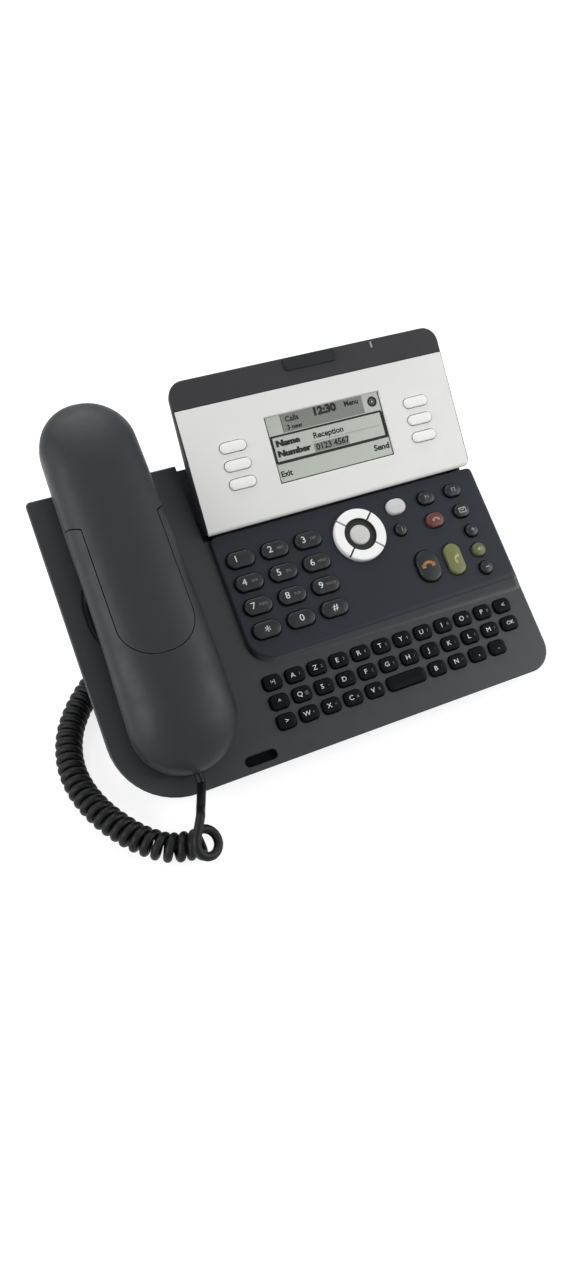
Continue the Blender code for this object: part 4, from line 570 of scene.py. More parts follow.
# Painted shade: faces of the dial panel take the darker, bluer copy of the slate
for face in top_cover.data.polygons:
    face.material_index = int(face.center.z > PANEL_SHADE_LEVEL)
top_cover.data.transform(BASE)
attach(top_cover, "base")
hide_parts("base_top_cover")


# Hook switch plunger
# Grey nylon pin in a round hole of the deck, sprung from below and held down by the handset; it keeps the
# shape of its solid.
dressed("hook_switch", moulded("hook_grey", (0.17, 0.17, 0.18), 0.5), 0.3)


# Dial keys
# Twelve stadium keys of dark ABS with a low crown, each with its digit and the small letters printed on top.
# A flange under the cover keeps each key in its hole.
KEY_PROUD, KEY_ROLL, KEY_DOME = 2.6, 1.1, 0.35  # over the panel, rounding round the top, crown
KEY_CROWN = 0.985  # share of the way to the middle that the crown is drawn
FLANGE_LIP, FLANGE_HEIGHT = 1, 1.3
PRINT_RAISE, PRINT_ROOT, PRINT_GRID = 0.03, 0.08, 0.5
MARK_HALF = 0.1  # half the thickness of a mark, before it is printed
DIGIT_SIZE, DIGIT_STRETCH, DIGIT_PLACE = 5.2, 1.1, (-3.1, 0.2)
STAR_SIZE, STAR_PLACE = 1.5 * DIGIT_SIZE, (0, -1.6)
SMALL_SIZE, SMALL_PLACE = 2.1, (2.6, 0)
DIAL_LETTERS = ("", "ABC", "DEF", "GHI", "JKL", "MNO", "PQRS", "TUV", "WXYZ", "", "", "")


def crowned(width, top, roll, dome, steps, crown):
    """Growths and heights of a key's rounded shoulder and low crown, from its wall to its middle."""
    levels = [(-inset, top - dome - drop) for inset, drop in quarter_round(roll, 5)]
    run = width / 2 - roll
    for step in range(1, steps + 1):
        share = crown * step / steps
        levels.append((-roll - run * share, top - dome * (1 - share) ** 2))
    return levels


def key_body(length, width, ceiling, proud, roll, dome, lip=FLANGE_LIP):
    """Key with a rounded shoulder and a low crown, and with its flange, if any, under the cover."""
    top = ceiling - GAP
    levels = [(lip, top - FLANGE_HEIGHT), (lip, top)] + ([(0, top)] if lip else [])
    levels += crowned(min(length, width), proud, roll, dome, 5, KEY_CROWN)
    return stacked(lambda grow: stadium(length, width, grow=grow, steps=12), levels)


def stamp(bm, mark, index, grid=PRINT_GRID):
    """Prints a flat mark, drawn about level zero, on the surface below it in another material."""
    for across in (Vector((1, 0, 0)), Vector((0, 1, 0))):
        reach = [vertex.co.dot(across) for vertex in mark.verts]
        for step in range(1, int((max(reach) - min(reach)) / grid) + 1):
            parts = mark.verts[:] + mark.edges[:] + mark.faces[:]
            place = across * (min(reach) + step * grid)
            bmesh.ops.bisect_plane(mark, geom=parts, plane_co=place, plane_no=across)
    bm.normal_update()
    tree = BVHTree.FromBMesh(bm)
    for vertex in mark.verts:
        a, b, w = vertex.co
        hit = tree.ray_cast((a, b, FAR), (0, 0, -1))[0]
        vertex.co.z = (hit.z if hit else 0) + (PRINT_RAISE if w > 0 else -PRINT_ROOT)
    bmesh.ops.recalc_face_normals(mark, faces=mark.faces)
    mesh = bpy.data.meshes.new("mark")
    mark.to_mesh(mesh)
    mark.free()
    before = len(bm.faces)
    bm.from_mesh(mesh)
    bm.faces.ensure_lookup_table()
    for face in bm.faces[before:]:
        face.material_index = index
    bpy.data.meshes.remove(mesh)


def lettering(text, size, centre, stretch=1.0, weight=0.0):
    """Characters as a thin flat mark about a centre; weight thickens them."""
    curve = bpy.data.curves.new("characters", "FONT")
    curve.body = text
    curve.size = size
    curve.align_x = curve.align_y = "CENTER"
    curve.extrude = MARK_HALF
    curve.offset = weight
    curve.resolution_u = 3
    holder = bpy.data.objects.new("characters", curve)
    bpy.context.scene.collection.objects.link(holder)
    graph = bpy.context.evaluated_depsgraph_get()
    mesh = bpy.data.meshes.new_from_object(holder.evaluated_get(graph))
    bpy.data.objects.remove(holder, do_unlink=True)
    bpy.data.curves.remove(curve)
    mark = bmesh.new()
    mark.from_mesh(mesh)
    bpy.data.meshes.remove(mesh)
    for vertex in mark.verts:
        vertex.co.x = vertex.co.x * stretch + centre[0]
        vertex.co.y += centre[1]
    return mark


def key_plastic(name, colour, roughness=0.4):
    return moulded(name, colour, roughness, grain=2000, depth=0.00002, gloss=0.3)


def printing(name, colour):
    return moulded(name, colour, 0.5, clouding=0.04, wear=0.0)


dark_key = key_plastic("dark_key", (0.0058, 0.0088, 0.0102), 0.36)
print_white = printing("print_white", (0.62, 0.64, 0.64))
print_brown = printing("print_brown", (0.17, 0.145, 0.13))
for index, (mark, letters) in enumerate(zip(DIAL_MARKS, DIAL_LETTERS)):
    key = key_body(DIAL_KEY_U, DIAL_KEY_V, -WALL, KEY_PROUD, KEY_ROLL, KEY_DOME)
    if mark == "star":
        stamp(key, lettering("*", STAR_SIZE, STAR_PLACE), 1)
    else:
        place = DIGIT_PLACE if letters or mark == "1" else (0, 0)
        stamp(key, lettering("#" if mark == "hash" else mark, DIGIT_SIZE, place, DIGIT_STRETCH), 1)
    if letters:
        stamp(key, lettering(letters, SMALL_SIZE, SMALL_PLACE), 2)
    seat = BASE @ Matrix.Translation((*dial_centre(index), 0))
    piece = fitted(f"dial_{mark}", key, seat, dark_key, print_white, print_brown)
    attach(piece, f"dial_key_{mark}_body")
    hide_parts(f"dial_key_{mark}")


# Function keys
# Eleven keys right of the navigator, each its own moulding: white, red, olive green and dark ABS,
# pad-printed with a small sign, except the blank menu key.
RUN_ON = 0.6  # of a stroke past its end, in half widths


def strokes(points, width, bm=None):
    """Line of even width through points, as a thin flat mark."""
    bm = bm or bmesh.new()
    for (a, b), (c, d) in zip(points, points[1:]):
        run = Vector((c - a, d - b)).normalized() * width / 2
        start_a, start_b = a - run.x * RUN_ON, b - run.y * RUN_ON
        end_a, end_b = c + run.x * RUN_ON, d + run.y * RUN_ON
        prism([(start_a - run.y, start_b + run.x), (start_a + run.y, start_b - run.x),
               (end_a + run.y, end_b - run.x), (end_a - run.y, end_b + run.x)], -MARK_HALF, MARK_HALF, bm)
    return bm


def receiver_mark(size, centre, turn=0):
    """Sign of a telephone receiver: a bow with two caps."""
    bow = arc((0, -0.55 * size), 0.75 * size, 35, 110, 8)
    inner = arc((0, -0.55 * size), 0.47 * size, 145, -110, 8)
    mark = prism(bow + inner, -MARK_HALF, MARK_HALF)
    for side in (-1, 1):
        middle = side * 0.50 * size
        cap = box(middle - 0.19 * size, middle + 0.19 * size, -0.42 * size, -0.08 * size)
        prism(cap, -MARK_HALF, MARK_HALF, mark)
    turned = Matrix.Translation((*centre, 0)) @ Matrix.Rotation(math.radians(turn), 4, "Z")
    bmesh.ops.transform(mark, matrix=turned, verts=mark.verts)
    return mark


def envelope_mark(size):
    left, right, low, high = -0.6 * size, 0.6 * size, -0.4 * size, 0.4 * size
    mark = strokes([(left, low), (right, low), (right, high), (left, high), (left, low)], 0.14 * size)
    return strokes([(left, high), (0, -0.05 * size), (right, high)], 0.14 * size, mark)


def speaker_mark(size):
    cone = ((-0.5, -0.15), (-0.3, -0.15), (0, -0.4), (0, 0.4), (-0.3, 0.15), (-0.5, 0.15))
    mark = prism([(a * size, b * size) for a, b in cone], -MARK_HALF, MARK_HALF)
    for radius in (0.3, 0.55):
        strokes(arc((0, 0), radius * size, -40, 80, 6), 0.1 * size, mark)
    return mark


def pale_plastic(name, colour, gloss=0.4):
    return moulded(name, colour, 0.45, clouding=0.03, grain=2200, depth=0.00002, wear=0.0, gloss=gloss)


white_key = pale_plastic("white_key", (0.83, 0.83, 0.82))
menu_grey = pale_plastic("menu_grey", (0.54, 0.545, 0.54), 0.2)
red_key = key_plastic("red_key", (0.096, 0.029, 0.028))
green_key = key_plastic("green_key", (0.14, 0.148, 0.054))
# Painted shade: the speaker key is the green plastic of the call key, given a darker, greyer copy for the
# shade on it
olive_key = key_plastic("olive_key", (0.088, 0.097, 0.045))
print_orange = printing("print_orange", (0.30, 0.125, 0.035))
print_grey = printing("print_grey", (0.30, 0.32, 0.33))
print_pale = printing("print_pale", (0.34, 0.35, 0.21))
print_rose = printing("print_rose", (0.36, 0.19, 0.19))
FUNCTION_FINISH = {
    "menu_key": (menu_grey, print_grey, "white_key"),
    "release_key": (red_key, print_rose, "red_key"),
    # speaker key: the shaded copy of the green plastic, painted shade
    "speaker_key": (olive_key, print_pale, "green_key"),
    "call_key": (green_key, print_pale, "green_key"),
    "redial_key": (dark_key, print_orange, "dark_key"),
}
FUNCTION_SIGNS = {
    "info_key": lambda: lettering("i", 4, (0, 0)),
    "function_key_1": lambda: lettering("F1", 3.2, (0, 0)),
    "function_key_2": lambda: lettering("F2", 3.2, (0, 0)),
    "release_key": lambda: receiver_mark(3.4, (0, 0.6)),
    "message_key": lambda: envelope_mark(3.4),
    "volume_up_key": lambda: lettering("+", 4.4, (0, 0)),
    "speaker_key": lambda: speaker_mark(3),
    "volume_down_key": lambda: strokes([(-1, 0), (1, 0)], 0.5),
    "call_key": lambda: receiver_mark(4, (0, 0), 60),
    "redial_key": lambda: receiver_mark(6, (-0.5, 1.5)),
}
for name, (u, v, length, width) in FUNCTION_KEYS.items():
    finish, ink, slot = FUNCTION_FINISH.get(name, (dark_key, print_grey, "dark_key"))
    key = key_body(length, width, -WALL, KEY_PROUD, KEY_ROLL, KEY_DOME)
    if name in FUNCTION_SIGNS:
        stamp(key, FUNCTION_SIGNS[name](), 1)
    piece = fitted(f"{name}_cap", key, BASE @ Matrix.Translation((u, v, 0)), finish, ink)
    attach(piece, f"{name}_body")
    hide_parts(name)


# Navigator
# A white rocker ring, split on top into four by fine grooves, and the round key in its middle; the grooves
# and the ring's inner wall are painted dark as painted shade. The key is guided by a dark rubber collar of
# the dome mat, which shows between the two.
RING_LAND, RING_ROLL, RING_INNER_ROLL, RING_STEPS = 9.4, 0.9, 0.4, 96
RING_GROOVE, RING_GROOVE_DEPTH = 1.1, 1.5
GROOVE_TOP, RING_RIM = KEY_PROUD - 0.6, RING_RADIUS - 0.15  # below and inside these the grooves and the ring's inner wall are painted dark: painted shade
OK_RADIUS, OK_FOOT = 5.8, -6.5
ring_low = -WALL - GAP - FLANGE_HEIGHT
ring_profile = [
    (RING_LAND, ring_low), (RING_RADIUS + FLANGE_LIP, ring_low), (RING_RADIUS + FLANGE_LIP, -WALL - GAP),
    (RING_RADIUS, -WALL - GAP)]
ring_profile += arc((RING_RADIUS - RING_ROLL, KEY_PROUD - RING_ROLL), RING_ROLL, 0, 90, 5)
ring_profile += arc((RING_LAND + RING_INNER_ROLL, KEY_PROUD - RING_INNER_ROLL), RING_INNER_ROLL, 90, 90, 3)
ring = bmesh.new()
ring_loops = []
for step in range(RING_STEPS):
    turn = 2 * math.pi * step / RING_STEPS
    ring_loops.append([ring.verts.new((r * math.cos(turn), r * math.sin(turn), w)) for r, w in ring_profile])
for near, ahead in zip(ring_loops, ring_loops[1:] + ring_loops[:1]):
    for index in range(len(ring_profile)):
        after = (index + 1) % len(ring_profile)
        ring.faces.new((near[index], ahead[index], ahead[after], near[after]))
grooves = bmesh.new()
for quarter in range(4):
    before = len(grooves.verts)
    prism(box(RING_LAND - 1, RING_RADIUS + 1, -RING_GROOVE / 2, RING_GROOVE / 2),
          KEY_PROUD - RING_GROOVE_DEPTH, FAR, grooves)
    quarter_turn = Matrix.Rotation(math.radians(45 + 90 * quarter), 3, "Z")
    bmesh.ops.rotate(grooves, verts=grooves.verts[before:], matrix=quarter_turn)
ring_mesh = shaped(ring, ("DIFFERENCE", grooves))
# Painted shade: a dark material for the groove floors and walls and the ring's inner wall, where shade falls
groove_shade = moulded("groove_shade", (0.030, 0.031, 0.033), 0.5, wear=0.0)
ring_piece = fitted("rocker_ring", ring_mesh, Matrix.Identity(4), white_key, groove_shade)
# Painted shade: faces inside the rim and below GROOVE_TOP take the dark material
for face in ring_piece.data.polygons:
    inside = math.hypot(face.center.x, face.center.y) < RING_RIM
    face.material_index = int(inside and face.center.z < GROOVE_TOP)
ring_piece.data.transform(BASE @ Matrix.Translation((*RING_CENTRE, 0)))
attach(ring_piece, "navigator_ring_body")
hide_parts("navigator_ring")
ok_ceiling = OK_FOOT + FLANGE_HEIGHT + GAP
ok_cap = key_body(2 * OK_RADIUS, 2 * OK_RADIUS, ok_ceiling, KEY_PROUD, KEY_ROLL, KEY_DOME, 0)
ok_grey = pale_plastic("ok_grey", (0.53, 0.53, 0.525))
ok_piece = fitted("ok_cap", ok_cap, BASE @ Matrix.Translation((*RING_CENTRE, 0)), ok_grey)
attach(ok_piece, "ok_key_body")
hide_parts("ok_key")


# Letter keys
# One silicone mat: near-black rounded keys that stand through the deck on a web, with white printed
# characters and a blank space bar.
LETTER_PROUD, LETTER_ROLL, LETTER_DOME, LETTER_CROWN = 2.2, 0.9, 0.25, 0.97
LETTER_WEB, LETTER_WEB_MARGIN, LETTER_WEB_CORNER = 1.8, 3.5, 2
LETTER_SIGNS = ">| A Z E R T Y U I O P < ^ Q S D F G H J K L M OK > W X C V B N , .".split() + [""]
SECOND_SIGNS = dict(zip("AZERTYUIOPQSDFGHJKLMWXCVBN", "1234567890@-_()/:;!?+=&%'*"))
SIGN_SIZE, PAIR_SIZE, SECOND_SIZE = 3.6, 3.0, 2.2
SIGN_STRETCH, SIGN_SHIFT, SIGN_RISE, SECOND_SHIFT = 1.1, 1.5, 0.1, 2.3
web_top = DECK_UNDER - GAP
web_low = web_top - LETTER_WEB
letter_top = DECK + LETTER_PROUD
last_u = LETTER_FIRST_U + 11 * LETTER_PITCH_U  # of twelve keys in a row
last_v = LETTER_FIRST_V - (len(LETTER_ROWS) - 1) * LETTER_PITCH_V
web = prism(rounded(
    LETTER_FIRST_U - LETTER_KEY_U / 2 - LETTER_WEB_MARGIN, last_u + LETTER_KEY_U / 2 + LETTER_WEB_MARGIN,
    last_v - LETTER_KEY_V / 2 - LETTER_WEB_MARGIN, LETTER_FIRST_V + LETTER_KEY_V / 2 + LETTER_WEB_MARGIN,
    (LETTER_WEB_CORNER,) * 4, steps=4), web_low, web_top)
letter_caps = bmesh.new()
letter_levels = [(0, (web_low + web_top) / 2)]
letter_levels += crowned(LETTER_KEY_V, letter_top, LETTER_ROLL, LETTER_DOME, 4, LETTER_CROWN)
for place in letter_places():
    stacked(lambda grow: letter_outline(place, grow), letter_levels, letter_caps)
letter_rubber = moulded("letter_rubber", (0.0032, 0.0040, 0.0042), 0.5, grain=1600, depth=0.00002,
                        gloss=0.06)
letter_mesh = shaped(web, ("UNION", letter_caps))
letter_mat = bmesh.new()
letter_mat.from_mesh(letter_mesh)
for (u, v, _), sign in zip(letter_places(), LETTER_SIGNS):
    second = SECOND_SIGNS.get(sign)
    if sign:
        size = SIGN_SIZE if len(sign) < 2 else PAIR_SIZE
        centre = (u - SIGN_SHIFT if second else u, v + SIGN_RISE)
        stamp(letter_mat, lettering(sign, size, centre, SIGN_STRETCH), 1)
    if second:
        stamp(letter_mat, lettering(second, SECOND_SIZE, (u + SECOND_SHIFT, v)), 2)
print_soft = printing("print_soft", (0.16, 0.17, 0.17))
letter_piece = fitted("letter_mat", letter_mat, BASE, letter_rubber, print_white, print_soft)
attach(letter_piece, "letter_key_mat_body")
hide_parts("letter_key_mat")


# Display back shell
# Dark grey ABS housing behind the silver panel, hung on the hinge pin. Its upper band shows above the panel,
# with rounded corners, the grip tab for tilting and the opening of the lamp.
DISPLAY_FOOT = Matrix.Translation((0, DISPLAY_FOOT_V, DISPLAY_FOOT_W))
DISPLAY = BASE @ DISPLAY_FOOT @ Matrix.Rotation(DISPLAY_TILT, 4, "X")
DISPLAY_SILVER, DISPLAY_HEIGHT, DISPLAY_DEPTH, DISPLAY_SIDE, DISPLAY_CORNER = 67.5, 83, 12, 0.9, 9
PANEL_PLATE, PANEL_ROLL = 2.4, 2.2
BAND_ROLL, REAR_ROLL = 1.2, 2.4
SHELL_DRAFT, DRAFT_FROM, DRAFT_FULL = 2.6, 8, 20  # its sides lean in to the back, above the hinge
TAB = (34, 66, 75.4, 82.6)
TAB_PROUD, TAB_ROLL = 1.4, 0.8
TAB_PAINT = 0.02  # faces of the tab above this level are black
LAMP_U, LAMP_WIDTH, LAMP_LOW, LAMP_HIGH, LAMP_CORNER = 88.7, 3.2, 77.2, 81.9, 0.9
LAMP_PROUD, LAMP_GAP, LAMP_CHAMFER = 0.02, 0.06, 0.1
shell_left, shell_right = DISPLAY_LEFT - DISPLAY_SIDE, DISPLAY_RIGHT + DISPLAY_SIDE
shell_low = PANEL_ROLL / 2


def shell_ring(inset, n):
    """Outline of the back shell at a depth n; above the hinge its sides lean in towards the back."""
    outline = rounded(shell_left + inset, shell_right - inset, shell_low, DISPLAY_HEIGHT - inset,
                      (WALL, WALL, DISPLAY_CORNER - inset, DISPLAY_CORNER - inset))
    middle, half = (shell_left + shell_right) / 2, (shell_right - shell_left) / 2
    ring = []
    for u, h in outline:
        lean = -n / DISPLAY_DEPTH * SHELL_DRAFT * soft_step((h - DRAFT_FROM) / (DRAFT_FULL - DRAFT_FROM))
        ring.append((u - lean * (u - middle) / half, h, n))
    return ring


shell_rings = [shell_ring(drop, -DISPLAY_DEPTH + inset) for inset, drop in quarter_round(REAR_ROLL, 5)]
shell_rings += [shell_ring(inset, -drop) for inset, drop in quarter_round(BAND_ROLL, 5)]
tab_levels = [(0, -PANEL_PLATE)]
tab_levels += [(inset, TAB_PROUD - drop) for inset, drop in quarter_round(TAB_ROLL, 5)]
tab = stacked(lambda inset: rounded(*TAB, (WALL,) * 4, inset), tab_levels)
pocket_floor = -PANEL_PLATE - GAP
shell_floor = -DISPLAY_DEPTH + SHELL_WALL
pocket = prism(box(DISPLAY_LEFT - GAP, DISPLAY_RIGHT + GAP, -FAR, DISPLAY_SILVER + GAP), pocket_floor, FAR)
cavity_plan = box(DISPLAY_LEFT + SHELL_WALL, DISPLAY_RIGHT - SHELL_WALL,
                  -FAR, DISPLAY_HEIGHT - DISPLAY_CORNER / 2)
shell_cavity = prism(cavity_plan, shell_floor, -PANEL_PLATE - GAP / 2)
shell_cuts = bmesh.new()
for lug_left in lug_lefts:
    lug_room = box(lug_left - LUG_CLEARANCE, lug_left + HINGE_LUG_WIDTH + LUG_CLEARANCE,
                   -FAR, HINGE_H + HINGE_LUG_RADIUS + LUG_CLEARANCE)
    prism(lug_room, -FAR, shell_floor + GAP, shell_cuts)
lamp_opening = rounded(LAMP_U - LAMP_WIDTH / 2 - LAMP_GAP, LAMP_U + LAMP_WIDTH / 2 + LAMP_GAP,
                       LAMP_LOW - LAMP_GAP, LAMP_HIGH + LAMP_GAP, (LAMP_CORNER,) * 4, steps=5)
prism(lamp_opening, -PANEL_PLATE, FAR, shell_cuts)
shell_bore = circle((HINGE_H, HINGE_N), HINGE_PIN_RADIUS + GAP, 20)
swept(shell_bore, shell_left - GAP, shell_right + GAP, shell_cuts)
band_grey = moulded("band_grey", (0.034, 0.034, 0.037), 0.55, gloss=0.15)
tab_black = moulded("tab_black", (0.0155, 0.0175, 0.021), 0.55, gloss=0.15)
back_shell = fitted("display_housing", shaped(
    loft(shell_rings), ("UNION", tab), ("DIFFERENCE", pocket), ("DIFFERENCE", shell_cavity),
    ("DIFFERENCE", shell_cuts)), Matrix.Identity(4), band_grey, tab_black)
for face in back_shell.data.polygons:
    u, h, n = face.center
    face.material_index = int(n > TAB_PAINT and TAB[0] < u < TAB[1] and TAB[2] < h)
back_shell.data.transform(DISPLAY)
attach(back_shell, "display")
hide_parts("display_back_shell")


# Silver panel
# Front plate of the display, moulded in ABS, painted in fine silver and clipped into the back shell. It is
# rolled over its lower edge and has the LCD opening and the six key holes.
SOFT_KEY_U, SOFT_KEY_V = 15, 5.7
SOFT_COLUMNS = {"left": -6.6, "right": 106.7}
SOFT_ROWS = {"low": 22.9, "middle": 32.9, "high": 42.9}
LCD_LEFT, LCD_RIGHT, LCD_LOW, LCD_HIGH = 14.8, 85.7, 17, 53.8
LCD_BEVEL = 0.5
PLATE_CORNERS = (0.8, 3.2, 0.6, 0.6)
PLATE_EDGE, PLATE_EDGE_MIDDLE = 0.5, 0.15  # rounding of its upper edge


def lcd_outline(grow):
    return box(LCD_LEFT - grow, LCD_RIGHT + grow, LCD_LOW - grow, LCD_HIGH + grow)


panel_section = [(DISPLAY_SILVER, -PLATE_EDGE), (DISPLAY_SILVER - PLATE_EDGE_MIDDLE, -PLATE_EDGE_MIDDLE)]
panel_section.append((DISPLAY_SILVER - PLATE_EDGE, 0))
panel_section += arc((PANEL_ROLL, -PANEL_ROLL), PANEL_ROLL, 90, 90, 10)
panel_section += [(0, -PANEL_PLATE), (DISPLAY_SILVER, -PANEL_PLATE)]
panel_cuts = bmesh.new()
lcd_levels = ((0, -FAR), (0, -LCD_BEVEL), (LCD_BEVEL, 0), (LCD_BEVEL, FAR))
stacked(lcd_outline, lcd_levels, panel_cuts)
for u in SOFT_COLUMNS.values():
    for h in SOFT_ROWS.values():
        countersunk(lambda grow: stadium(SOFT_KEY_U, SOFT_KEY_V, (u, h), KEY_CLEARANCE + grow),
                    -FAR, 0, SMALL_CHAMFER, panel_cuts)
silver_paint = moulded("silver_paint", (0.72, 0.72, 0.71), 0.5, clouding=0.05, grain=3200, depth=0.00001,
                       wear=0.0, metallic=0.05, gloss=0.15)
plate_edge = prism(rounded(DISPLAY_LEFT, DISPLAY_RIGHT, 0, DISPLAY_SILVER, PLATE_CORNERS), -FAR, FAR)
panel_piece = fitted("silver_plate", shaped(
    swept(panel_section, DISPLAY_LEFT, DISPLAY_RIGHT), ("INTERSECT", plate_edge), ("DIFFERENCE", panel_cuts)),
    DISPLAY, silver_paint)
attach(panel_piece, "display")
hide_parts("display_front_panel")


# Display keys
# Six white ABS stadium keys, three on each side of the LCD, held by their flanges behind the silver panel and
# left without print.
SOFT_PROUD, SOFT_ROLL, SOFT_DOME = 1.2, 0.6, 0.2
for side, u in SOFT_COLUMNS.items():
    for row, h in SOFT_ROWS.items():
        key = key_body(SOFT_KEY_U, SOFT_KEY_V, -PANEL_PLATE, SOFT_PROUD, SOFT_ROLL, SOFT_DOME)
        piece = fitted(f"soft_cap_{side}_{row}", key, DISPLAY @ Matrix.Translation((u, h, 0)), white_key)
        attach(piece, f"soft_key_{side}_{row}_body")
        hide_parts(f"soft_key_{side}_{row}")


# LCD and its window
# A grey-green reflective LCD glass on its board, showing a plain menu in dark characters, behind a clear
# acrylic window that is glued into the opening of the silver panel.
LCD_GLASS, LCD_BOARD, BOARD_MARGIN_U, BOARD_MARGIN_V = 2.6, 1.6, 10, 5
GLASS_TOP = -PANEL_PLATE - GAP
IMAGE_TOP, IMAGE_INSET = -0.9, 0.1  # the image stands in the opening, close under the window
WINDOW_SUNK, WINDOW_THICKNESS, WINDOW_CHAMFER, WINDOW_CORNER = 0.3, 0.5, 0.2, 0.6
WINDOW_ALPHA, WINDOW_POLISH, SMEAR_SCALE, SMEAR_SWING = 0.015, 0.12, 90.0, 0.2
HALF_TONES = ((9.5, 60, 26.6, 36.5), (24.5, 46, 12.2, 17.0))  # left, right, low, high
board_plan = box(SOFT_COLUMNS["left"] - BOARD_MARGIN_U, SOFT_COLUMNS["right"] + BOARD_MARGIN_U,
                 LCD_LOW - BOARD_MARGIN_V, LCD_HIGH + BOARD_MARGIN_V)
glass_plan, image_plan = lcd_outline(WALL), lcd_outline(-IMAGE_INSET)
board_top = GLASS_TOP - LCD_GLASS
glass_levels = (
    (board_plan, board_top - LCD_BOARD), (board_plan, board_top), (glass_plan, board_top),
    (glass_plan, GLASS_TOP), (image_plan, GLASS_TOP), (image_plan, IMAGE_TOP))
glass = stacked(lambda plan: plan, glass_levels)


def lcd_point(x, y):
    """Point on the LCD, from its lower left corner."""
    return LCD_LEFT + x, LCD_LOW + y


def lcd_text(text, size, x, y, stretch=1.0, weight=0.14, index=1):
    stamp(glass, lettering(text, size, lcd_point(x, y), stretch, weight), index, FAR)


def lcd_line(points, width, index=1):
    stamp(glass, strokes([lcd_point(x, y) for x, y in points], width), index, FAR)


for left, right, low, high in HALF_TONES:
    half_tone = box(LCD_LEFT + left, LCD_LEFT + right, LCD_LOW + low, LCD_LOW + high)
    stamp(glass, prism(half_tone, -MARK_HALF, MARK_HALF), 2, FAR)
lcd_text("Calls", 4.2, 16, 33.4)
lcd_text("12:30", 6.0, 36, 33.8, 1.1, 0.38)
lcd_text("Menu", 4.0, 53, 34.0)
lcd_text("3 new", 3.6, 16.5, 28.8)
lcd_line([(9.5, 36.4), (9.5, 26.6)], 0.3)
for radius in (1.0, 1.9, 2.6):
    lcd_line([(65.8 + a, 31.8 + b) for a, b in arc((0, 0), radius, 0, 360, 16)], 0.7)
lcd_line([(1.2, 11.4), (1.2, 25.6), (69.2, 25.6), (69.2, 11.4), (1.2, 11.4)], 1.1)
lcd_line([(1.6, 10.8), (69.8, 10.8), (69.8, 25)], 0.9)
for shift in (-0.25, 0.25):
    lcd_text("Name", 4.8, 10.2 + shift, 21.4, 1.2, 0.18)
    lcd_text("Number", 4.8, 12.6 + shift, 15.7, 1.2, 0.18)
lcd_text("Reception", 4.6, 35, 21.0)
lcd_text("0123 4567", 4.8, 36, 14.6)
lcd_line([(24, 18.0), (67, 18.0)], 0.25, 2)
# Painted shadow: a thin dark ink frame round the edge of the image stands in for the shade at the edges of
# the opening
lcd_line([(0.35, 0.35), (0.35, 36.5), (70.5, 36.5), (70.5, 0.35), (0.35, 0.35)], 0.5)
lcd_text("Exit", 4.4, 4.8, 4.8)
lcd_text("Send", 4.6, 64.5, 5.9, 1.1, 0.18)
lcd_grey = moulded("lcd_grey", (0.43, 0.46, 0.42), 0.35, clouding=0.05, grain=2600, depth=0.00001, wear=0.0)
lcd_ink = moulded("lcd_ink", (0.006, 0.008, 0.007), 0.5, clouding=0.05, wear=0.0, gloss=0.05)
lcd_half = moulded("lcd_half", (0.20, 0.22, 0.195), 0.5, clouding=0.05, wear=0.0, gloss=0.1)
lcd_piece = fitted("lcd_glass", glass, DISPLAY, lcd_grey, lcd_ink, lcd_half)
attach(lcd_piece, "display")
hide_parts("lcd_module")
window_edges = (LCD_LEFT + GAP, LCD_RIGHT - GAP, LCD_LOW + GAP, LCD_HIGH - GAP)
window_levels = ((0, -WINDOW_SUNK - WINDOW_THICKNESS), (0, -WINDOW_SUNK - WINDOW_CHAMFER),
                 (WINDOW_CHAMFER, -WINDOW_SUNK))
window = stacked(lambda inset: rounded(*window_edges, (WINDOW_CORNER,) * 4, inset, steps=4), window_levels)
clear_window = bpy.data.materials.new("clear_window")
clear_window.use_nodes = True
window_tree = clear_window.node_tree
window_smear = noise_node(window_tree, add_node(window_tree, "TexCoord")["Object"], SMEAR_SCALE, 4.0)
add, _, times = sums(window_tree)
fill(window_tree, window_tree.nodes["Principled BSDF"], {
    "Base Color": (0.80, 0.84, 0.80, 1), "Alpha": WINDOW_ALPHA,
    "Roughness": add(times(window_smear, SMEAR_SWING), WINDOW_POLISH)})
window_piece = fitted("lcd_cover", window, DISPLAY, clear_window)
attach(window_piece, "display")
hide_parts("lcd_window")


# Message lamp
# A small lens of smoked acrylic, snapped into its opening in the band from behind, with a pale mark printed
# on it.
LAMP_MARK_LOW, LAMP_MARK_HIGH, LAMP_MARK_WIDTH = LAMP_LOW + 1.2, LAMP_HIGH - 0.6, 1.0
lamp_levels = ((0, -PANEL_PLATE + GAP), (0, LAMP_PROUD - LAMP_CHAMFER), (LAMP_CHAMFER, LAMP_PROUD))
lamp_edges = (LAMP_U - LAMP_WIDTH / 2, LAMP_U + LAMP_WIDTH / 2, LAMP_LOW, LAMP_HIGH)
lamp = stacked(lambda inset: rounded(*lamp_edges, (LAMP_CORNER,) * 4, inset, steps=5), lamp_levels)
stamp(lamp, strokes([(LAMP_U, LAMP_MARK_LOW), (LAMP_U, LAMP_MARK_HIGH)], LAMP_MARK_WIDTH), 1)
lamp_lens = moulded("lamp_lens", (0.034, 0.034, 0.037), 0.4, wear=0.0, gloss=0.15)
lamp_piece = fitted("lamp_cap", lamp, DISPLAY, lamp_lens, print_grey)
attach(lamp_piece, "display")
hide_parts("message_lamp")


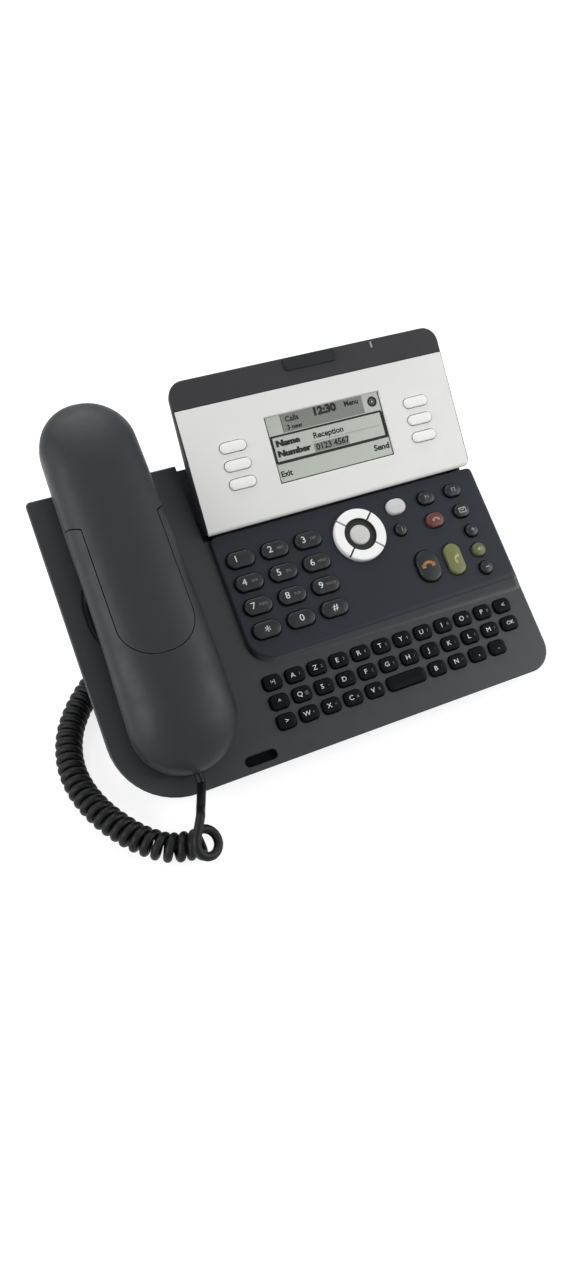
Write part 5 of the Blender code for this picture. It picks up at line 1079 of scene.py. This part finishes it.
# Handset shells
# Three mouldings in satin slate ABS: the back cover with its long tongue, the lower shell round it and the
# front shell with the ear and mouth ends. They snap together on the parting line.
HANDSET_LOW, HANDSET_LENGTH = -86, 199
HANDSET_TOP = HANDSET_LOW + HANDSET_LENGTH
HANDSET_LOW_WIDTH, HANDSET_TOP_WIDTH, HANDSET_CROWN = 55, 49.4, 33
PARTING_LOW, PARTING_MID, PARTING_RISE = 10, 16, 65
HANDSET_ARCH, ARCH_LOW, ARCH_TOP, ARCH_BLEND = 8.5, -44, 48, 30
CROWN_END, BELLY_END = 42, 14
BACK_POWER, BELLY_POWER = 2.3, 3.4
TONGUE_TOP, TONGUE_SHOULDER, TONGUE_LOW = 50, 43, -28.2
TONGUE_WIDTH, TONGUE_FLARE, TONGUE_CORNER = 38.8, 10, 18
SEAM = 0.45
STATIONS, SECTION_STEPS = 72, 44
PLUG_U, PLUG_W, PLUG_LENGTH, PLUG_LEVEL = 7.6, 6.6, 11, 3.5
EAR_V, EAR_HOLE_RINGS, EAR_HOLE_RADIUS, EAR_HOLE_PITCH = HANDSET_TOP - 27, (0, 3.2, 6.4), 0.8, 3.3
MOUTH_HOLES, MOUTH_HOLE_RADIUS, MOUTH_HOLE_PITCH = 5, 0.7, 2.6
HOLE_TOP = 0.4  # the holes end in the hollow of the handset


def round_end(distance, run):
    """Share of full size at a distance from an end that rounds off over a run."""
    t = 1 - min(distance / run, 1)
    return math.sqrt(max(1 - t * t, 0))


def handset_section(v, wall):
    """Half width, parting level, height above it and depth below it at v, drawn in by a wall."""
    from_low, from_top = v - HANDSET_LOW - wall, HANDSET_TOP - wall - v
    share = (v - HANDSET_LOW) / HANDSET_LENGTH
    full_width = HANDSET_LOW_WIDTH + (HANDSET_TOP_WIDTH - HANDSET_LOW_WIDTH) * share
    end = min(round_end(from_low, HANDSET_LOW_WIDTH / 2), round_end(from_top, HANDSET_TOP_WIDTH / 2))
    parting = PARTING_LOW + (PARTING_MID - PARTING_LOW) * soft_step((v - HANDSET_LOW) / PARTING_RISE)
    back = min(round_end(from_low, CROWN_END), round_end(from_top, CROWN_END))
    arch = soft_step((v - ARCH_LOW) / ARCH_BLEND) * soft_step((ARCH_TOP - v) / ARCH_BLEND)
    under = DECK + GAP + (HANDSET_ARCH - DECK - GAP) * arch
    belly = min(round_end(from_low, BELLY_END), round_end(from_top, BELLY_END))
    height, depth = (HANDSET_CROWN - parting - wall) * back, (parting - under - wall) * belly
    return (full_width / 2 - wall) * end, parting, height, depth


def half_shell(side, power):
    """Half of the handset above (side 1) or below (side -1) the parting line: two skins and a rim."""
    bm = bmesh.new()
    skins = []
    for wall in (0.0, SHELL_WALL):
        low, top = HANDSET_LOW + wall, HANDSET_TOP - wall
        arcs = []
        for k in range(STATIONS):
            v = low + (top - low) * (1 - math.cos(math.pi * (k + 0.5) / STATIONS)) / 2
            half, parting, height, depth = handset_section(v, wall)
            reach = height if side > 0 else depth
            points = []
            for step in range(SECTION_STEPS + 1):
                turn = math.pi * step / SECTION_STEPS
                across = math.copysign(abs(math.cos(turn)) ** (2 / power), math.cos(turn))
                up = abs(math.sin(turn)) ** (2 / power)
                level = parting + side * (GAP / 2 + reach * up)
                points.append(bm.verts.new((HANDSET_U + half * across, v, level)))
            arcs.append(points)
        skins.append(arcs)
    for skin in skins:
        for near, ahead in zip(skin, skin[1:]):
            for index in range(len(near) - 1):
                bm.faces.new((near[index], near[index + 1], ahead[index + 1], ahead[index]))
        bm.faces.new(skin[0])
        bm.faces.new(list(reversed(skin[-1])))
    outer, inner = skins
    for edge in (0, -1):
        for k in range(len(outer) - 1):
            bm.faces.new((outer[k][edge], outer[k + 1][edge], inner[k + 1][edge], inner[k][edge]))
    for row in (0, -1):
        bm.faces.new((outer[row][0], outer[row][-1], inner[row][-1], inner[row][0]))
    return bm


def tongue(grow):
    """Cutter in the plan of the back cover: the whole top, with a round-ended tongue down the back."""
    half, low, corner = TONGUE_WIDTH / 2 + grow, TONGUE_LOW - grow, TONGUE_CORNER + grow
    points = arc((half - corner, low + corner), corner, 270, 90, 16)
    points += [(half, TONGUE_SHOULDER - grow), (half + TONGUE_FLARE, TONGUE_TOP - grow)]
    points.append((half + TONGUE_FLARE, HANDSET_TOP + FAR))
    points += [(-a, b) for a, b in reversed(points)]
    return prism([(HANDSET_U + a, b) for a, b in points], -FAR, FAR)


handset_slate = moulded("handset_slate", (0.0085, 0.0112, 0.0145), 0.50, grain=1600, depth=0.00002,
                        gloss=0.32)
plug_opening = box(HANDSET_LOW - FAR, HANDSET_LOW + GAP + PLUG_LENGTH,
                   PLUG_LEVEL - PLUG_W / 2 - GAP, PLUG_LEVEL + PLUG_W / 2 + GAP)
front_cuts = swept(plug_opening, HANDSET_U - PLUG_U / 2 - GAP, HANDSET_U + PLUG_U / 2 + GAP)
for ring_radius in EAR_HOLE_RINGS:
    count = 1 if ring_radius == 0 else round(2 * math.pi * ring_radius / EAR_HOLE_PITCH)
    for hole in range(count):
        turn = 2 * math.pi * hole / count
        centre = (HANDSET_U + ring_radius * math.cos(turn), EAR_V + ring_radius * math.sin(turn))
        prism(circle(centre, EAR_HOLE_RADIUS, 10), -FAR, HOLE_TOP, front_cuts)
for hole in range(MOUTH_HOLES):
    centre = (HANDSET_U + (hole - (MOUTH_HOLES - 1) / 2) * MOUTH_HOLE_PITCH, MOUTH_SEAT_V)
    prism(circle(centre, MOUTH_HOLE_RADIUS, 10), -FAR, HOLE_TOP, front_cuts)
handset_front = moulded("handset_front", SLATE, 0.46)
for name, node, slot, finish, body, cut in (
        ("handset_back", "handset_back_cover", "handset_slate", handset_slate,
         half_shell(1, BACK_POWER), ("INTERSECT", tongue(0))),
        ("handset_lower", "handset_lower_shell", "handset_slate", handset_slate,
         half_shell(1, BACK_POWER), ("DIFFERENCE", tongue(SEAM))),
        ("handset_front", "handset_front_shell", "handset_front", handset_front,
         half_shell(-1, BELLY_POWER), ("DIFFERENCE", front_cuts))):
    piece = fitted(name, shaped(body, cut), BASE, finish)
    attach(piece, "handset")
    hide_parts(node)


# Foot, pad and front strip
# The folding foot is moulded in slate ABS and turns on two pin ends in the lugs of the tray; its pad and the
# strip under the front edge are black rubber, glued on.
foot_rubber = moulded("foot_rubber", (0.014, 0.014, 0.014), 0.82, grain=1100, depth=0.00006)
dressed("foot_stand", slate_bottom, 0.5)
dressed("foot_pad", foot_rubber, 0.5)
dressed("front_rubber_strip", foot_rubber, 0.4)


# Curly cord
# A 4.5 mm black PVC cord, heat-set into curls of 14 mm. From the plug in the base it runs to the left under
# the phone, lies on the table round the base's corner and rises to the lower end of the handset.
TABLE = Matrix.Translation((KEY_5.x, KEY_5.y, 0)) @ MILLIMETRE
WIRE, COIL_DIAMETER, COIL_PITCH = 4.5, 14.4, 5.4
FAN_PITCH, FAN_LENGTH = 5.0, 24  # the first curls lie closer
LOOSE_REACH, LOOSE_LENGTH = 2.0, 12  # and the very first one is wider
AXIS_SPACING, CURL_POINTS, SOLID_CURL_POINTS = 0.1, 32, 8
ROUTE_STEPS, BASE_LEAD_SPACING = 40, 3
COIL_START = Vector((-0.75, 0.25, 0.61))  # side of the first curl on which the handset's lead arrives
COIL_ROUTE = (
    (-89.1, -106.4, 12.8), (-91.6, -103.0, 8.6), (-97.5, -100.8, 7.4), (-105.5, -98.0, 7.2),
    (-112.5, -92.3, 7.2), (-120.5, -82.0, 7.2), (-129.3, -64.0, 7.2), (-134.0, -43.5, 7.2),
    (-133.0, -23.0, 7.2), (-125.5, -2.0, 7.2), (-110.0, 19.0, 7.2), (-91.0, 33.0, 7.2),
    (-67.0, 34.0, 7.2), (-48.5, 20.0, 7.2), (-45.0, -3.0, 7.2), (-53.0, -25.0, 7.2),
)
HANDSET_LEAD_ROUTE = ((-83.9, -84.4, 18.0), (-87.2, -92.0, 18.6))
BASE_LEAD_ROUTE = (
    (-56.0, -21.0, 20.5), (-53.0, -12.0, 25.0), (-48.5, 3.0, 28.5), (-45.4, 16.0, 31.5), (-44.2, 25.0, 37.0),
    (-44.0, 27.4, 44.0),
)
HANDSET_EXIT, BASE_EXIT = Vector((-80.5, -72.45, 20.58)), Vector((-44, 23.69, 50.64))
SLOPE_UP = Vector((0, math.cos(BASE_TILT), math.sin(BASE_TILT)))
DECK_OUT = Vector((0, -math.sin(BASE_TILT), math.cos(BASE_TILT)))


def smooth_route(points, spacing):
    """Even points on a smooth curve; the first and the last given point only set its directions."""
    fine = []
    for before, start, end, after in zip(points, points[1:], points[2:], points[3:]):
        for step in range(ROUTE_STEPS):
            t = step / ROUTE_STEPS
            fine.append(0.5 * (
                2 * start + (end - before) * t + (2 * before - 5 * start + 4 * end - after) * t * t
                + (3 * start - before - 3 * end + after) * t ** 3))
    fine.append(points[-2])
    lengths = [0.0]
    for near, ahead in zip(fine, fine[1:]):
        lengths.append(lengths[-1] + (ahead - near).length)
    count = max(round(lengths[-1] / spacing), 2)
    evened, index = [], 0
    for step in range(count + 1):
        target = lengths[-1] * step / count
        while index < len(lengths) - 2 and lengths[index + 1] < target:
            index += 1
        span = lengths[index + 1] - lengths[index]
        evened.append(fine[index].lerp(fine[index + 1], (target - lengths[index]) / span))
    return evened


def coil_points(axis_points, curl_points):
    """Helix round an axis that is sampled closely; the frame is carried along without twist."""
    radius = (COIL_DIAMETER - WIRE) / 2
    step_length = (axis_points[1] - axis_points[0]).length
    tangent = (axis_points[1] - axis_points[0]).normalized()
    side = tangent.cross(COIL_START).normalized()
    up = side.cross(tangent)
    phase = due = 0.0
    points = []
    for index, centre in enumerate(axis_points[:-1]):
        next_tangent = (axis_points[index + 1] - centre).normalized()
        up = tangent.rotation_difference(next_tangent) @ up
        side = next_tangent.cross(up)
        tangent = next_tangent
        if phase >= due:
            reach = radius + LOOSE_REACH * (1 - soft_step(index * step_length / LOOSE_LENGTH))
            points.append(centre + reach * (math.cos(phase) * up - math.sin(phase) * side))
            due += 2 * math.pi / curl_points
        opening = soft_step((index * step_length - FAN_LENGTH / 2) / (FAN_LENGTH / 2))
        phase += 2 * math.pi * step_length / (FAN_PITCH + (COIL_PITCH - FAN_PITCH) * opening)
    return points


coil_route = [Vector(point) for point in COIL_ROUTE]
coil_route = [2 * coil_route[0] - coil_route[1]] + coil_route + [2 * coil_route[-1] - coil_route[-2]]
coil_axis = smooth_route(coil_route, AXIS_SPACING)
solid_curls = coil_points(coil_axis, SOLID_CURL_POINTS)
rises = [(ahead - near).normalized().z for near, ahead in zip(solid_curls, solid_curls[1:])]
steepest = max(range(len(rises) - SOLID_CURL_POINTS, len(rises)), key=rises.__getitem__)
curls = coil_points(coil_axis, CURL_POINTS)[:(steepest + 1) * CURL_POINTS // SOLID_CURL_POINTS + 1]
first_run = (curls[0] - curls[1]).normalized()
last_run = (solid_curls[steepest + 1] - solid_curls[steepest]).normalized()
coil_end = solid_curls[steepest + 1] + last_run * WIRE
lead_foot = curls[0] + first_run * (WIRE + GAP)
base_lead = [coil_end, coil_end + last_run * WIRE] + [Vector(point) for point in BASE_LEAD_ROUTE]
base_lead += [BASE_EXIT - DECK_OUT * WIRE, BASE_EXIT]
base_run = [coil_end] + smooth_route(base_lead, BASE_LEAD_SPACING) + [BASE_EXIT]
cord_points = [TABLE @ point for point in [lead_foot] + curls + base_run[1:]]
cord_points.reverse()
cord_black = moulded("cord_black", (0.0045, 0.0048, 0.0050), 0.45, grain=1500, depth=0.00002, gloss=0.18)
cord_curve = bpy.data.curves.new("curly_cord_tube", "CURVE")
cord_curve.dimensions = "3D"
cord_curve.bevel_depth = WIRE / 2 * 0.001
cord_curve.bevel_resolution = 5
cord_curve.use_fill_caps = True
cord_spline = cord_curve.splines.new("POLY")
cord_spline.points.add(len(cord_points) - 1)
for place, point in zip(cord_spline.points, cord_points):
    place.co = (*point, 1)
cord_spline.use_smooth = True
cord_curve.materials.append(cord_black)
cord_piece = bpy.data.objects.new("curly_cord_tube", cord_curve)
bpy.context.scene.collection.objects.link(cord_piece)
plug_black = moulded("plug_black", (0.012, 0.012, 0.013), 0.25, grain=2400, depth=0.00001)
base_plug = dressed("base_plug", plug_black, 0.4)
handset_plug = dressed("handset_plug", plug_black, 0.4)
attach(cord_piece, "base")
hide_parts("curly_cord", "base_lead")


# Lead of the handset
# The straight end of the same cord, from its plug in the handset down to the first curl.
LEAD_SIDES, LEAD_SPACING = 20, 1.0
lead_route = [HANDSET_EXIT, HANDSET_EXIT - SLOPE_UP * WIRE] + [Vector(point) for point in HANDSET_LEAD_ROUTE]
lead_route += [lead_foot + first_run * WIRE, lead_foot]
lead_route = [HANDSET_EXIT] + smooth_route(lead_route, LEAD_SPACING) + [lead_foot]
lead_points = [TABLE @ point for point in lead_route]
lead_rings = []
tangent = (lead_points[1] - lead_points[0]).normalized()
lead_side = tangent.cross(Vector((1, 0, 0))).normalized()
for index, point in enumerate(lead_points):
    ahead = lead_points[min(index + 1, len(lead_points) - 1)] - lead_points[max(index - 1, 0)]
    next_tangent = ahead.normalized()
    lead_side = tangent.rotation_difference(next_tangent) @ lead_side
    tangent = next_tangent
    other = tangent.cross(lead_side)
    lead_rings.append([
        point + WIRE / 2 * 0.001 * (math.cos(turn) * lead_side + math.sin(turn) * other)
        for turn in (2 * math.pi * k / LEAD_SIDES for k in range(LEAD_SIDES))])
lead_piece = fitted("handset_lead_tube", loft(lead_rings), Matrix.Identity(4), cord_black)
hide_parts("handset_lead")
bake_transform(lead_piece)


# Floor, light and camera
# A white studio floor with soft boxes to the right, to the left and above; the camera stands where the
# photograph was taken.
FLOOR_HALF = 4
FLOOR_GREY = (0.34, 0.34, 0.34, 1)
FLOOR_GLOW, FLOOR_FADE = 0.75, 0.45  # seen straight, the floor turns white away from the phone
SKY_LIGHT, SKY_GLOW = 0.25, 0.75
floor_mesh = bpy.data.meshes.new("studio_floor")
floor_outline = box(-FLOOR_HALF, FLOOR_HALF, -FLOOR_HALF, FLOOR_HALF)
floor_mesh.from_pydata([(x, y, 0) for x, y in floor_outline], [], [(0, 1, 2, 3)])
floor = bpy.data.objects.new("studio_floor", floor_mesh)
bpy.context.scene.collection.objects.link(floor)
floor_white = bpy.data.materials.new("floor_white")
floor_white.use_nodes = True
floor_tree = floor_white.node_tree


def straight_view(tree):
    """Mask of the rays that the camera, a mirror or a glass sends to the background."""
    add, _, _ = sums(tree)
    rays = add_node(tree, "LightPath")
    return add(rays["Is Camera Ray"], add(rays["Is Glossy Ray"], rays["Is Transmission Ray"], True), True)


floor_place = add_node(floor_tree, "NewGeometry")["Position"]
floor_reach = add_node(floor_tree, "VectorMath", {0: floor_place}, operation="LENGTH")
add, _, times = sums(floor_tree)
floor_glow = add(FLOOR_GLOW, times(floor_reach["Value"], FLOOR_FADE, True))
fill(floor_tree, floor_tree.nodes["Principled BSDF"], {
    "Base Color": FLOOR_GREY, "Roughness": 0.9, "Specular IOR Level": 0.1, "Emission Color": (1, 1, 1, 1),
    "Emission Strength": times(straight_view(floor_tree), floor_glow)})
floor_mesh.materials.append(floor_white)

world = bpy.data.worlds.new("studio")
bpy.context.scene.world = world
world.use_nodes = True
world_tree = world.node_tree
add, _, times = sums(world_tree)
fill(world_tree, world_tree.nodes["Background"], {
    "Color": (1, 1, 1, 1), "Strength": add(SKY_LIGHT, times(straight_view(world_tree), SKY_GLOW))})


def soft_box(name, place, aim, size, power):
    light = bpy.data.lights.new(name, "AREA")
    light.shape = "RECTANGLE"
    light.size, light.size_y = size
    light.energy = power
    lamp = bpy.data.objects.new(name, light)
    lamp.location = place
    lamp.rotation_euler = (Vector(aim) - Vector(place)).to_track_quat("-Z", "Y").to_euler()
    bpy.context.scene.collection.objects.link(lamp)


soft_box("soft_box_right", (1.1, -0.70, 0.62), (0, 0, 0.05), (1.0, 0.7), 13)
soft_box("soft_box_left", (-1.25, -0.25, 0.65), (0, 0, 0.08), (1.1, 0.9), 13.5)
soft_box("soft_box_top", (0.05, 0.75, 1.3), (0, 0, 0.05), (1.2, 0.6), 11)

CAMERA_PLACE = KEY_5 + Vector((-0.1825, -0.3843, 0.3422))
CAMERA_FORWARD, CAMERA_UP = Vector((0.332, 0.688, -0.645)), Vector((0.276, 0.583, 0.764))
camera_data = bpy.data.cameras.new("photograph")
camera_data.lens = 28.55
camera_data.sensor_width = 36
camera_data.sensor_fit = "AUTO"
camera_data.shift_y = -0.0336
camera_data.clip_start = 0.01
camera = bpy.data.objects.new("photograph", camera_data)
back = -CAMERA_FORWARD.normalized()
right = CAMERA_UP.cross(back).normalized()
camera_turn = Matrix((right, back.cross(right), back)).transposed().to_4x4()
camera.matrix_world = Matrix.Translation(CAMERA_PLACE) @ camera_turn
bpy.context.scene.collection.objects.link(camera)
bpy.context.scene.camera = camera
bpy.context.scene.view_settings.view_transform = "Standard"
